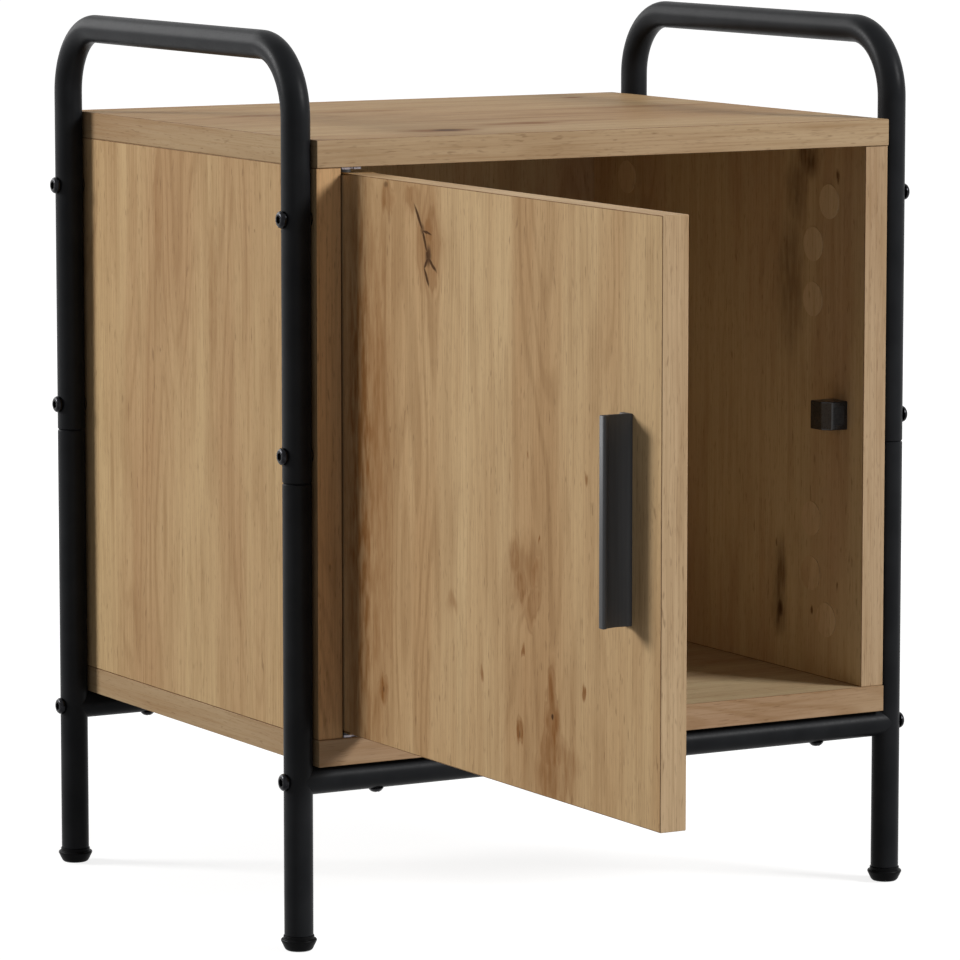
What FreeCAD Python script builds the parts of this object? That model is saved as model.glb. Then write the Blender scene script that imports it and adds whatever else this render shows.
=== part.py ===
import FreeCAD, Part
import math
import os
from enum import IntEnum
from types import SimpleNamespace

import Sketcher

# A nightstand: a cabinet of laminated boards with one inset door, carried by two bent tube bows on legs.
# Millimetres, +X to the right, +Y to the rear, +Z up, origin on the floor under the middle of the cabinet.
# The door is drawn open by a quarter turn, about two pivot hinges at its left edge.

# Driving dimensions
DRIVING = {
    # Cabinet boards
    "cabinet_width": 368.0,
    "cabinet_depth": 305.0,
    "cabinet_height": 341.0,
    "cabinet_clearance": 101.5,
    "board": 15.0,
    "edge_radius": 0.5,
    "front_setback": 1.0,
    "back_thickness": 3.0,
    "back_gap": 0.5,
    # Tube frame
    "tube_diameter": 16.0,
    "tube_wall": 1.2,
    "front_leg_inset": 9.5,
    "rear_leg_inset": 12.5,
    "bow_rise": 49.5,
    "bow_radius": 38.0,
    "seam_drop": 15.0,
    "seam_bevel": 0.7,
    "neck_length": 30.0,
    "neck_taper": 4.0,
    "slip_clearance": 0.1,
    "cope_clearance": 0.05,
    "plug_length": 18.0,
    "plug_gap": 0.5,
    # Frame bolts and their inserts
    "bolt_diameter": 6.0,
    "bolt_head_diameter": 9.6,
    "bolt_head_height": 2.8,
    "bolt_head_dome": 2.2,
    "bolt_socket": 4.0,
    "bolt_socket_depth": 1.6,
    "bolt_drop": 42.5,
    "bolt_clearance": 0.2,
    "insert_diameter": 9.0,
    "insert_length": 12.0,
    "fit_clearance": 0.05,
    # Screws up through the cross tubes
    "cross_screw_diameter": 4.0,
    "cross_screw_head": 8.6,
    "cross_screw_head_height": 2.4,
    "cross_screw_bite": 11.0,
    "cross_screw_inset": 40.0,
    # Foot caps
    "foot_base_diameter": 15.6,
    "foot_flange_diameter": 20.0,
    "foot_height": 6.5,
    "foot_rim": 0.9,
    "foot_edge": 1.0,
    "foot_collar_diameter": 17.0,
    "foot_collar_height": 1.8,
    "foot_plug_length": 16.0,
    "foot_rib": 1.6,
    "foot_rib_height": 1.0,
    # Corner joints of the boards
    "cam_diameter": 15.0,
    "cam_depth": 12.5,
    "cam_reach": 34.0,
    "cam_front_inset": 38.0,
    "cam_rear_inset": 43.0,
    "cam_channel": 8.0,
    "cam_dowel_stem": 5.0,
    "cam_dowel_head": 7.0,
    "cam_dowel_head_length": 3.0,
    "cam_dowel_thread": 5.6,
    "cam_dowel_bite": 10.0,
    "wood_dowel_diameter": 8.0,
    "wood_dowel_length": 30.0,
    "wood_dowel_bite": 11.0,
    "wood_dowel_chamfer": 0.8,
    "wood_dowel_inset": 85.0,
    "end_clearance": 0.5,
    # Spare holes and cover discs inside the side panels
    "spare_hole_diameter": 5.0,
    "spare_hole_depth": 10.0,
    "spare_hole_inset": 54.5,
    "spare_pair_pitch": 32.0,
    "spare_pair_offset": 80.0,
    "cover_diameter": 20.0,
    "cover_thickness": 0.4,
    # Back panel nails
    "nail_diameter": 1.6,
    "nail_length": 20.0,
    "nail_head_diameter": 3.4,
    "nail_head_height": 0.8,
    # Door and pivot hinges
    "door_gap_side": 2.0,
    "door_gap_end": 3.0,
    "door_recess": 0.5,
    "pivot_from_edge": 2.0,
    "pivot_from_face": 3.0,
    "hinge_sheet": 1.2,
    "hinge_plate_width": 13.0,
    "hinge_plate_length": 25.0,
    "hinge_plate_margin": 0.5,
    "hinge_plate_corner": 2.0,
    "hinge_notch_diameter": 2.4,
    "hinge_eye_diameter": 7.0,
    "hinge_pin_diameter": 4.0,
    "hinge_pin_clearance": 0.05,
    "hinge_washer_thickness": 1.5,
    "hinge_tip_gap": 0.1,
    "leaf_width": 12.0,
    "leaf_flange": 26.0,
    "leaf_sink": 1.0,
    "hinge_screw_diameter": 3.0,
    "hinge_screw_head": 5.0,
    "hinge_screw_length": 12.0,
    "hinge_screw_first": 9.0,
    "hinge_screw_pitch": 9.0,
    # Handle
    "handle_length": 106.0,
    "handle_reach": 18.0,
    "handle_screw_margin": 5.0,
    "handle_from_edge": 27.5,
    "handle_base_width": 8.0,
    "handle_base_thickness": 3.2,
    "handle_blade": 2.6,
    "handle_lip": 2.0,
    "handle_lip_depth": 4.2,
    "handle_land": 1.0,
    "handle_hollow": 1.0,
    "handle_rounding": 1.0,
    "handle_root_radius": 2.5,
    "handle_screw_diameter": 4.0,
    "handle_screw_head": 7.6,
    "handle_screw_head_height": 2.2,
    "handle_screw_bite": 2.4,
    # Magnetic catch
    "catch_reach": 15.0,
    "catch_depth": 16.0,
    "catch_height": 16.5,
    "catch_bevel": 4.5,
    "catch_edge": 0.8,
    "catch_stub_diameter": 8.0,
    "catch_stub_length": 10.0,
    "catch_gap": 0.2,
    "magnet_width": 7.0,
    "magnet_inset": 2.0,
    "magnet_depth": 5.0,
    "magnet_height": 11.0,
    "strike_width": 11.0,
    "strike_height": 15.0,
    "strike_margin": 3.0,
    "strike_thickness": 1.0,
    "strike_corner": 2.0,
}
HEX_SIDES = 6
FOOT_RIBS = 3

# How near two places, or two unit directions, are taken to be the same
SAME_PLACE = 0.01


class SketchAxis(IntEnum):
    """Numbers of a sketch's own axes; the first axis starts at the sketch origin."""

    HORIZONTAL = -1
    VERTICAL = -2


class SketchPoint(IntEnum):
    """Numbers of the points of a line, an arc or a circle in a sketch."""

    START = 1
    END = 2
    CENTRE = 3


ORIGIN = (SketchAxis.HORIZONTAL, SketchPoint.START)

# Turns that point a piece drawn along +Z another way
X_AXIS = FreeCAD.Vector(1, 0, 0)
Y_AXIS = FreeCAD.Vector(0, 1, 0)
Z_AXIS = FreeCAD.Vector(0, 0, 1)
UP = FreeCAD.Rotation()
DOWN = FreeCAD.Rotation(X_AXIS, 180)
RIGHT = FreeCAD.Rotation(Y_AXIS, 90)
LEFT = FreeCAD.Rotation(Y_AXIS, -90)
REARWARD = FreeCAD.Rotation(X_AXIS, -90)
DOOR_TURN = FreeCAD.Rotation(Z_AXIS, -90)


class Size:
    """A length in millimetres together with the sheet formula that gives it."""

    def __init__(self, value, formula):
        self.value = value
        self.formula = formula

    def joined(self, other, sign, value):
        """Gives the size that joins this one and another by an operator sign."""
        return Size(value, f"({self.formula} {sign} {other.formula})")

    def __add__(self, other):
        other = as_size(other)
        return self.joined(other, "+", self.value + other.value)

    def __sub__(self, other):
        other = as_size(other)
        return self.joined(other, "-", self.value - other.value)

    def __mul__(self, other):
        other = as_size(other)
        return self.joined(other, "*", self.value * other.value)

    def __truediv__(self, other):
        other = as_size(other)
        return self.joined(other, "/", self.value / other.value)

    def __neg__(self):
        return as_size(0) - self


def as_size(number):
    """Turns a plain number into a size; a size stays as it is."""
    if isinstance(number, Size):
        return number
    return Size(float(number), repr(float(number)))


NOTHING = as_size(0)

doc = FreeCAD.newDocument("Nightstand")
sheet = doc.addObject("Spreadsheet::Sheet", "Dimensions")
for row, (name, value) in enumerate(DRIVING.items(), start=1):
    sheet.set(f"A{row}", name)
    sheet.set(f"B{row}", str(value))
    sheet.setAlias(f"B{row}", name)
doc.recompute()
size = SimpleNamespace(**{name: Size(float(sheet.get(name)), f"Dimensions.{name}") for name in DRIVING})

subparts = []


def keep(subpart):
    """Notes a finished sub-part, which is written to a file of its label's name."""
    subparts.append(subpart)
    return subpart


# Places that several pieces share
half_width = size.cabinet_width / 2
front = -(size.cabinet_depth / 2)
rear = size.cabinet_depth / 2
cabinet_bottom = size.cabinet_clearance
cabinet_top = cabinet_bottom + size.cabinet_height
cabinet_middle = cabinet_bottom + size.cabinet_height / 2
side_front = front + size.front_setback
side_rear = rear - size.back_thickness
side_depth = size.cabinet_depth - size.front_setback - size.back_thickness
side_bottom = cabinet_bottom + size.board
side_top = cabinet_top - size.board
side_height = size.cabinet_height - size.board * 2
inner_left = -half_width + size.board
inner_right = half_width - size.board

tube_radius = size.tube_diameter / 2
tube_bore = tube_radius - size.tube_wall
leg_x = half_width + tube_radius
outer_x = leg_x + tube_radius
front_leg_y = front + size.front_leg_inset
rear_leg_y = rear - size.rear_leg_inset
cross_z = cabinet_bottom - tube_radius
upper_bolt_z = cabinet_top - size.bolt_drop
seam_z = cabinet_middle - size.seam_drop
bow_z = cabinet_top + size.bow_rise
leg_bottom = size.foot_height + size.foot_collar_height

bolt_radius = size.bolt_diameter / 2
bolt_hole = bolt_radius + size.bolt_clearance
thread_bore = bolt_radius + size.fit_clearance
cross_screw_x = half_width - size.cross_screw_inset
cross_screw_radius = size.cross_screw_diameter / 2

# Corner joints, measured from the front left lower corner of the top and bottom panels
cam_rows = (size.cam_front_inset, size.cabinet_depth - size.cam_rear_inset)
dowel_rows = (size.wood_dowel_inset, size.cabinet_depth - size.wood_dowel_inset)
joint_columns = (size.board / 2, size.cabinet_width - size.board / 2)
cam_dowel_hole = size.cam_dowel_thread / 2 + size.fit_clearance
wood_dowel_hole = size.wood_dowel_diameter / 2 + size.fit_clearance
wood_dowel_reach = size.wood_dowel_length - size.wood_dowel_bite

# Door, closed, and its pivot line
door_front = side_front + size.door_recess
pivot_x = inner_left + size.door_gap_side + size.pivot_from_edge
pivot_y = door_front + size.pivot_from_face
door_bottom = side_bottom + size.door_gap_end
door_top = side_top - size.door_gap_end
door_height = side_height - size.door_gap_end * 2
door_width = size.cabinet_width - size.board * 2 - size.door_gap_side * 2
door_hinge_edge = -size.pivot_from_edge
door_free_edge = door_width - size.pivot_from_edge
door_face = -size.pivot_from_face
door_back = size.board - size.pivot_from_face
pin_radius = size.hinge_pin_diameter / 2
pin_hole = pin_radius + size.hinge_pin_clearance
hinge_screw_radius = size.hinge_screw_diameter / 2
hinge_screw_hole = hinge_screw_radius + size.fit_clearance
hinge_screw_sink = size.hinge_screw_head / 2 - hinge_screw_radius
plate_left = size.hinge_plate_margin - size.door_gap_side - size.pivot_from_edge
plate_screw_x = plate_left + size.hinge_plate_width / 2
hinge_screw_steps = tuple(size.hinge_screw_first + size.hinge_screw_pitch * row for row in range(2))
leaf_screw_x = door_hinge_edge + size.leaf_width / 2
leaf_right = door_hinge_edge + size.leaf_width
upper_leaf_z = door_top - size.leaf_sink
lower_leaf_z = door_bottom + size.leaf_sink
handle_side = door_free_edge - size.handle_from_edge
handle_screw_x = handle_side - size.handle_base_width / 2
handle_screw_reach = size.handle_length / 2 - size.handle_screw_margin
handle_screw_heights = (cabinet_middle - handle_screw_reach, cabinet_middle + handle_screw_reach)
handle_screw_radius = size.handle_screw_diameter / 2
catch_front = door_front + size.board + size.strike_thickness + size.catch_gap
strike_x = door_free_edge - size.strike_margin - size.strike_width / 2


def bind(thing, field, length):
    """Ties a field of an object to the sheet."""
    thing.setExpression(field, length.formula)


def bind_place(thing, place, turn=UP):
    """Puts an object at a place made of three sizes, turned by a fixed turn."""
    place = [as_size(length) for length in place]
    thing.Placement = FreeCAD.Placement(FreeCAD.Vector(*[length.value for length in place]), turn)
    for axis, length in zip("xyz", place):
        bind(thing, f"Placement.Base.{axis}", length)


def new_body(label, place=(0, 0, 0), turn=UP):
    """Starts a body with its own origin at a place."""
    body = doc.addObject("PartDesign::Body", label)
    body.Label = label
    bind_place(body, place, turn)
    return body


def new_sketch(body, role, offset=NOTHING):
    """Starts a sketch on one of a body's origin planes, moved along the plane's normal."""
    sketch = body.newObject("Sketcher::SketchObject", f"{body.Label}_sketch")
    support = [feature for feature in body.Origin.OriginFeatures if feature.Role == role]
    sketch.AttachmentSupport = [(support[0], "")]
    sketch.MapMode = "FlatFace"
    bind(sketch, "AttachmentOffset.Base.z", offset)
    return sketch


def dimension(sketch, constraint, length):
    """Adds a dimension to a sketch and ties it to the sheet."""
    index = sketch.addConstraint(constraint)
    sketch.setExpression(f"Constraints[{index}]", length.formula)


def fix_point(sketch, geometry, point, x, y):
    """Dimensions a point of a sketch from the sketch origin."""
    for kind, axis, length in (("DistanceX", SketchAxis.VERTICAL, x), ("DistanceY", SketchAxis.HORIZONTAL, y)):
        length = as_size(length)
        if length.formula == NOTHING.formula:
            sketch.addConstraint(Sketcher.Constraint("PointOnObject", geometry, point, axis))
        else:
            measure = Sketcher.Constraint(kind, *ORIGIN, geometry, point, length.value)
            dimension(sketch, measure, length)


def join(sketch, kind, first, first_point, second, second_point):
    """Joins a point of one element to a point of another, in place only or also in direction."""
    sketch.addConstraint(Sketcher.Constraint(kind, first, first_point, second, second_point))


def draw_circle(sketch, x, y, radius):
    """Draws a dimensioned circle."""
    centre = FreeCAD.Vector(as_size(x).value, as_size(y).value, 0)
    geometry = sketch.addGeometry(Part.Circle(centre, Z_AXIS, radius.value), False)
    dimension(sketch, Sketcher.Constraint("Radius", geometry, radius.value), radius)
    fix_point(sketch, geometry, SketchPoint.CENTRE, x, y)


def draw_outline(sketch, corners):
    """Draws a closed outline of straight lines with every corner dimensioned."""
    corners = [(as_size(x), as_size(y)) for x, y in corners]
    points = [FreeCAD.Vector(x.value, y.value, 0) for x, y in corners]
    lines = [
        sketch.addGeometry(Part.LineSegment(point, following), False)
        for point, following in zip(points, points[1:] + points[:1])
    ]
    for line, following in zip(lines, lines[1:] + lines[:1]):
        join(sketch, "Coincident", line, SketchPoint.END, following, SketchPoint.START)
    for line, (x, y) in zip(lines, corners):
        fix_point(sketch, line, SketchPoint.START, x, y)


def draw_rectangle(sketch, left, right, low, high):
    """Draws a rectangle between two columns and two rows."""
    draw_outline(sketch, [(left, low), (right, low), (right, high), (left, high)])


def draw_hollow(sketch, x, low, high, depth):
    """Draws a shallow arc, hollow to the left of its upright chord."""
    chord = high - low
    radius = (chord * chord / 4 + depth * depth) / (depth * 2)
    middle = FreeCAD.Vector(x.value + radius.value - depth.value, (low.value + high.value) / 2, 0)
    half_angle = math.asin(chord.value / 2 / radius.value)
    circle = Part.Circle(middle, Z_AXIS, radius.value)
    bow = Part.ArcOfCircle(circle, math.pi - half_angle, math.pi + half_angle)
    straight = Part.LineSegment(FreeCAD.Vector(x.value, low.value, 0), FreeCAD.Vector(x.value, high.value, 0))
    arc = sketch.addGeometry(bow, False)
    line = sketch.addGeometry(straight, False)
    join(sketch, "Coincident", arc, SketchPoint.END, line, SketchPoint.START)
    join(sketch, "Coincident", line, SketchPoint.END, arc, SketchPoint.START)
    fix_point(sketch, line, SketchPoint.START, x, low)
    fix_point(sketch, line, SketchPoint.END, x, high)
    dimension(sketch, Sketcher.Constraint("Radius", arc, radius.value), radius)


def draw_circles(sketch, columns, rows, radius):
    """Draws a circle at every crossing of columns and rows."""
    for x in columns:
        for y in rows:
            draw_circle(sketch, x, y, radius)


def add_feature(body, kind, sketch, length, reverse=False, symmetric=False):
    """Adds a pad or a pocket of a given length."""
    feature = body.newObject(f"PartDesign::{kind}", f"{body.Label}_{kind.lower()}")
    feature.Profile = sketch
    feature.Reversed = reverse
    if symmetric:
        feature.SideType = "Symmetric"
    bind(feature, "Length", length)
    doc.recompute()
    return feature


def pad(body, sketch, length, reverse=False, symmetric=False):
    """Raises a sketch into material along its normal."""
    return add_feature(body, "Pad", sketch, length, reverse, symmetric)


def cut(body, sketch, length, reverse=False, symmetric=False):
    """Cuts a sketch against its normal and makes sure that material went."""
    before = body.Shape.Volume
    feature = add_feature(body, "Pocket", sketch, length, reverse, symmetric)
    if not body.Shape.Volume < before:
        raise RuntimeError(f"{feature.Label} cuts nothing")
    return feature


def edges_where(shape, test):
    """Names the edges of a shape whose middle point passes a test."""
    names = []
    for number, edge in enumerate(shape.Edges, start=1):
        if test(edge.valueAt((edge.FirstParameter + edge.LastParameter) / 2), edge):
            names.append(f"Edge{number}")
    return names


def parallel(direction, axis):
    """Tells whether a unit direction runs along an axis."""
    return direction.cross(axis).Length < SAME_PLACE


def runs_along(edge, axis):
    """Tells whether an edge is straight and runs along an axis."""
    return edge.Curve.TypeId == "Part::GeomLine" and parallel(edge.tangentAt(edge.FirstParameter), axis)


def ease_edges(body, kind, amount, test=lambda middle, edge: True):
    """Fillets or chamfers the edges of a body's last feature that pass a test."""
    base = body.Tip
    feature = body.newObject(f"PartDesign::{kind}", f"{body.Label}_{kind.lower()}")
    feature.Base = (base, edges_where(base.Shape, test))
    bind(feature, "Radius" if kind == "Fillet" else "Size", amount)
    doc.recompute()
    return feature


def turned(label, profile, place=(0, 0, 0)):
    """Turns an outline, given as radius and height, about the Z axis of a new body."""
    body = new_body(label, place)
    sketch = new_sketch(body, "XZ_Plane")
    draw_outline(sketch, profile)
    feature = body.newObject("PartDesign::Revolution", f"{label}_revolution")
    feature.Profile = sketch
    feature.ReferenceAxis = (sketch, ["V_Axis"])
    feature.Angle = 360
    doc.recompute()
    return body


def rod(label, radius, length):
    """A plain round pin that stands on its origin."""
    pin = doc.addObject("Part::Cylinder", label)
    bind(pin, "Radius", radius)
    bind(pin, "Height", length)
    return pin


def group(label, members):
    """Gathers separate solids into one sub-part."""
    compound = doc.addObject("Part::Compound", label)
    compound.Label = label
    compound.Links = members
    return keep(compound)


def repeat(label, pattern, places):
    """Repeats a pattern piece at places, each three sizes and a turn, as one sub-part."""
    copies = []
    for number, (x, y, z, turn) in enumerate(places, start=1):
        copy = doc.addObject("App::Link", f"{label}_{number}")
        copy.LinkedObject = pattern
        bind_place(copy, (x, y, z), turn)
        copies.append(copy)
    return group(label, copies)


def mirrored(label, source):
    """Mirrors a piece about the cabinet's middle height."""
    mirror = doc.addObject("Part::Mirroring", label)
    mirror.Label = label
    mirror.Source = source
    mirror.Normal = Z_AXIS
    bind(mirror, "Base.z", cabinet_middle)
    doc.recompute()
    return mirror


def panel(label, corner, width, depth, height):
    """A board with softly rounded edges; its origin is its lower front left corner."""
    body = new_body(label, corner)
    sketch = new_sketch(body, "XY_Plane")
    draw_rectangle(sketch, 0, width, 0, depth)
    pad(body, sketch, height)
    ease_edges(body, "Fillet", size.edge_radius)
    return keep(body)


def drill_joint_holes(body, level, upwards):
    """Drills the cam dowel and wood dowel holes of the top or the bottom panel."""
    thread_holes = new_sketch(body, "XY_Plane", level)
    draw_circles(thread_holes, joint_columns, cam_rows, cam_dowel_hole)
    cut(body, thread_holes, size.cam_dowel_bite + size.end_clearance, reverse=upwards)
    dowel_holes = new_sketch(body, "XY_Plane", level)
    draw_circles(dowel_holes, joint_columns, dowel_rows, wood_dowel_hole)
    cut(body, dowel_holes, size.wood_dowel_bite + size.end_clearance, reverse=upwards)


def drill_plate_holes(body, level, upwards):
    """Drills the holes for the hinge plate's screws."""
    holes = new_sketch(body, "XY_Plane", level)
    for y in hinge_screw_steps:
        draw_circle(holes, pivot_x + plate_screw_x + half_width, pivot_y + y - front, hinge_screw_hole)
    cut(body, holes, size.hinge_screw_length, reverse=upwards)


def make_top_panel():
    """Top panel, over the full width and depth, jointed from below."""
    corner = (-half_width, front, side_top)
    body = panel("top_panel", corner, size.cabinet_width, size.cabinet_depth, size.board)
    drill_joint_holes(body, NOTHING, upwards=True)
    drill_plate_holes(body, NOTHING, upwards=True)


def make_bottom_panel():
    """Bottom panel, jointed from above and screwed to the cross tubes from below."""
    corner = (-half_width, front, cabinet_bottom)
    body = panel("bottom_panel", corner, size.cabinet_width, size.cabinet_depth, size.board)
    drill_joint_holes(body, size.board, upwards=False)
    drill_plate_holes(body, size.board, upwards=False)
    holes = new_sketch(body, "XY_Plane")
    columns = (size.cross_screw_inset, size.cabinet_width - size.cross_screw_inset)
    rows = (size.front_leg_inset, size.cabinet_depth - size.rear_leg_inset)
    draw_circles(holes, columns, rows, cross_screw_radius + size.fit_clearance)
    cut(body, holes, size.cross_screw_bite + size.end_clearance, reverse=True)


def nail_heights():
    """Heights of the back panel's nails above the lower edge of a side panel, between the bolts."""
    middle = side_height / 2
    between_bolts = (upper_bolt_z - cabinet_middle) / 2
    above_bolts = (upper_bolt_z + side_top) / 2 - cabinet_middle
    return [middle - above_bolts, middle - between_bolts, middle + between_bolts, middle + above_bolts]


def cover_heights():
    """Heights of the spare holes above the lower edge of a side panel."""
    middle = side_height / 2
    half_pitch = size.spare_pair_pitch / 2
    centres = (middle - size.spare_pair_offset, middle + size.spare_pair_offset)
    return [height for centre in centres for height in (centre - half_pitch, centre + half_pitch)]


def make_side_panel(label, left):
    """Side panel with its cams, dowels, inserts and spare holes, and on the right the catch's hole."""
    outer = -half_width if left else inner_right
    body = panel(label, (outer, side_front, side_bottom), size.board, side_depth, side_height)
    inner_face = size.board if left else NOTHING
    outer_face = NOTHING if left else size.board
    cam_columns = [row - size.front_setback for row in cam_rows]
    cam_heights = (size.cam_reach, side_height - size.cam_reach)

    cam_holes = new_sketch(body, "YZ_Plane", inner_face)
    draw_circles(cam_holes, cam_columns, cam_heights, size.cam_diameter / 2)
    cut(body, cam_holes, size.cam_depth, reverse=not left)

    spare_holes = new_sketch(body, "YZ_Plane", inner_face)
    spare_y = size.spare_hole_inset - size.front_setback
    draw_circles(spare_holes, [spare_y], cover_heights(), size.spare_hole_diameter / 2)
    cut(body, spare_holes, size.spare_hole_depth, reverse=not left)

    insert_holes = new_sketch(body, "YZ_Plane", outer_face)
    leg_columns = (front_leg_y - side_front, rear_leg_y - side_front)
    bolt_heights = (upper_bolt_z - side_bottom, cabinet_middle - side_bottom)
    draw_circles(insert_holes, leg_columns, bolt_heights, size.insert_diameter / 2 + size.fit_clearance)
    cut(body, insert_holes, size.insert_length + size.end_clearance, reverse=left)

    dowel_columns = [row - size.front_setback for row in dowel_rows]
    for level, upwards in ((NOTHING, True), (side_height, False)):
        channels = new_sketch(body, "XY_Plane", level)
        draw_circles(channels, [size.board / 2], cam_columns, size.cam_channel / 2)
        cut(body, channels, size.cam_reach, reverse=upwards)
        dowel_holes = new_sketch(body, "XY_Plane", level)
        draw_circles(dowel_holes, [size.board / 2], dowel_columns, wood_dowel_hole)
        cut(body, dowel_holes, wood_dowel_reach + size.end_clearance, reverse=upwards)

    nail_holes = new_sketch(body, "XZ_Plane", -side_depth)
    draw_circles(nail_holes, [size.board / 2], nail_heights(), size.nail_diameter / 2 + size.fit_clearance)
    cut(body, nail_holes, size.nail_length - size.back_thickness + size.end_clearance, reverse=True)

    if not left:
        stub_hole = new_sketch(body, "YZ_Plane")
        stub_y = catch_front + size.catch_depth / 2 - side_front
        draw_circle(stub_hole, stub_y, side_height / 2, size.catch_stub_diameter / 2 + size.fit_clearance)
        cut(body, stub_hole, size.catch_stub_length + size.end_clearance, reverse=True)


def make_back_panel():
    """Thin back panel, between the top and bottom panels, nailed to the side panels."""
    corner = (-half_width + size.back_gap, side_rear, side_bottom + size.back_gap)
    body = new_body("back_panel", corner)
    sketch = new_sketch(body, "XY_Plane")
    width = size.cabinet_width - size.back_gap * 2
    draw_rectangle(sketch, 0, width, 0, size.back_thickness)
    pad(body, sketch, side_height - size.back_gap * 2)
    columns = [column - size.back_gap for column in joint_columns]
    rows = [height - size.back_gap for height in nail_heights()]
    shanks = new_sketch(body, "XZ_Plane")
    draw_circles(shanks, columns, rows, size.nail_diameter / 2 + size.fit_clearance)
    cut(body, shanks, size.back_thickness)
    heads = new_sketch(body, "XZ_Plane", -size.back_thickness)
    draw_circles(heads, columns, rows, size.nail_head_diameter / 2 + size.fit_clearance)
    cut(body, heads, size.nail_head_height, reverse=True)
    keep(body)

    head_radius = size.nail_head_diameter / 2
    nail_radius = size.nail_diameter / 2
    nail = turned("nail", [
        (0, -size.nail_length),
        (nail_radius, -size.nail_length + size.nail_diameter),
        (nail_radius, -size.nail_head_height),
        (head_radius, -size.nail_head_height),
        (head_radius, 0),
        (0, 0),
    ])
    places = [
        (column - half_width, rear, side_bottom + height, REARWARD)
        for column in joint_columns
        for height in nail_heights()
    ]
    repeat("back_nails", nail, places)


def make_corner_joints():
    """Cam locks with their dowels, and the beech dowels beside them."""
    cam = new_body("cam")
    sketch = new_sketch(cam, "XY_Plane")
    draw_circle(sketch, 0, 0, size.cam_diameter / 2 - size.fit_clearance)
    pad(cam, sketch, size.cam_depth - size.end_clearance)
    slot = new_sketch(cam, "YZ_Plane")
    cam_floor = size.board - size.cam_depth + size.end_clearance
    draw_circle(slot, 0, size.board / 2 - cam_floor, size.cam_channel / 2)
    cut(cam, slot, size.cam_diameter, reverse=True)

    cam_places = []
    dowel_places = []
    pin_places = []
    for side, turn in ((-1, RIGHT), (1, LEFT)):
        face_x = (half_width - cam_floor) * side
        dowel_x = (half_width - size.board / 2) * side
        for row in cam_rows:
            for level, reach, upside in ((side_bottom, size.cam_reach, DOWN), (side_top, -size.cam_reach, UP)):
                slot_turn = 0 if (upside is UP) == (side > 0) else 180
                facing = turn * FreeCAD.Rotation(Z_AXIS, slot_turn)
                cam_places.append((face_x, front + row, level + reach, facing))
                dowel_places.append((dowel_x, front + row, level, upside))
        for row in dowel_rows:
            pin_places.append((dowel_x, front + row, side_bottom - size.wood_dowel_bite, UP))
            pin_places.append((dowel_x, front + row, side_top + size.wood_dowel_bite, DOWN))
    repeat("cam_locks", cam, cam_places)

    stem_radius = size.cam_dowel_stem / 2
    head_radius = size.cam_dowel_head / 2
    thread_radius = size.cam_dowel_thread / 2
    head_low = -size.cam_reach
    cam_dowel = turned("cam_dowel", [
        (0, head_low),
        (head_radius, head_low),
        (head_radius, head_low + size.cam_dowel_head_length),
        (stem_radius, head_low + size.cam_dowel_head_length),
        (stem_radius, -size.cam_dowel_head_length),
        (head_radius, -size.cam_dowel_head_length),
        (head_radius, 0),
        (thread_radius, 0),
        (thread_radius, size.cam_dowel_bite - thread_radius),
        (0, size.cam_dowel_bite),
    ])
    repeat("cam_dowels", cam_dowel, dowel_places)

    dowel_radius = size.wood_dowel_diameter / 2
    dowel_end = dowel_radius - size.wood_dowel_chamfer
    dowel = turned("wood_dowel", [
        (0, 0),
        (dowel_end, 0),
        (dowel_radius, size.wood_dowel_chamfer),
        (dowel_radius, size.wood_dowel_length - size.wood_dowel_chamfer),
        (dowel_end, size.wood_dowel_length),
        (0, size.wood_dowel_length),
    ])
    repeat("wood_dowels", dowel, pin_places)


def make_cover_discs():
    """Thin discs over the cams and the spare holes, on the inner faces of both side panels."""
    disc = rod("cover_disc", size.cover_diameter / 2, size.cover_thickness)
    spots = [(row, height) for row in cam_rows for height in (size.cam_reach, side_height - size.cam_reach)]
    spots += [(size.spare_hole_inset, height) for height in cover_heights()]
    places = []
    for face_x, turn in ((inner_left, RIGHT), (inner_right, LEFT)):
        places += [(face_x, front + row, side_bottom + height, turn) for row, height in spots]
    repeat("cover_discs", disc, places)


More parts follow.
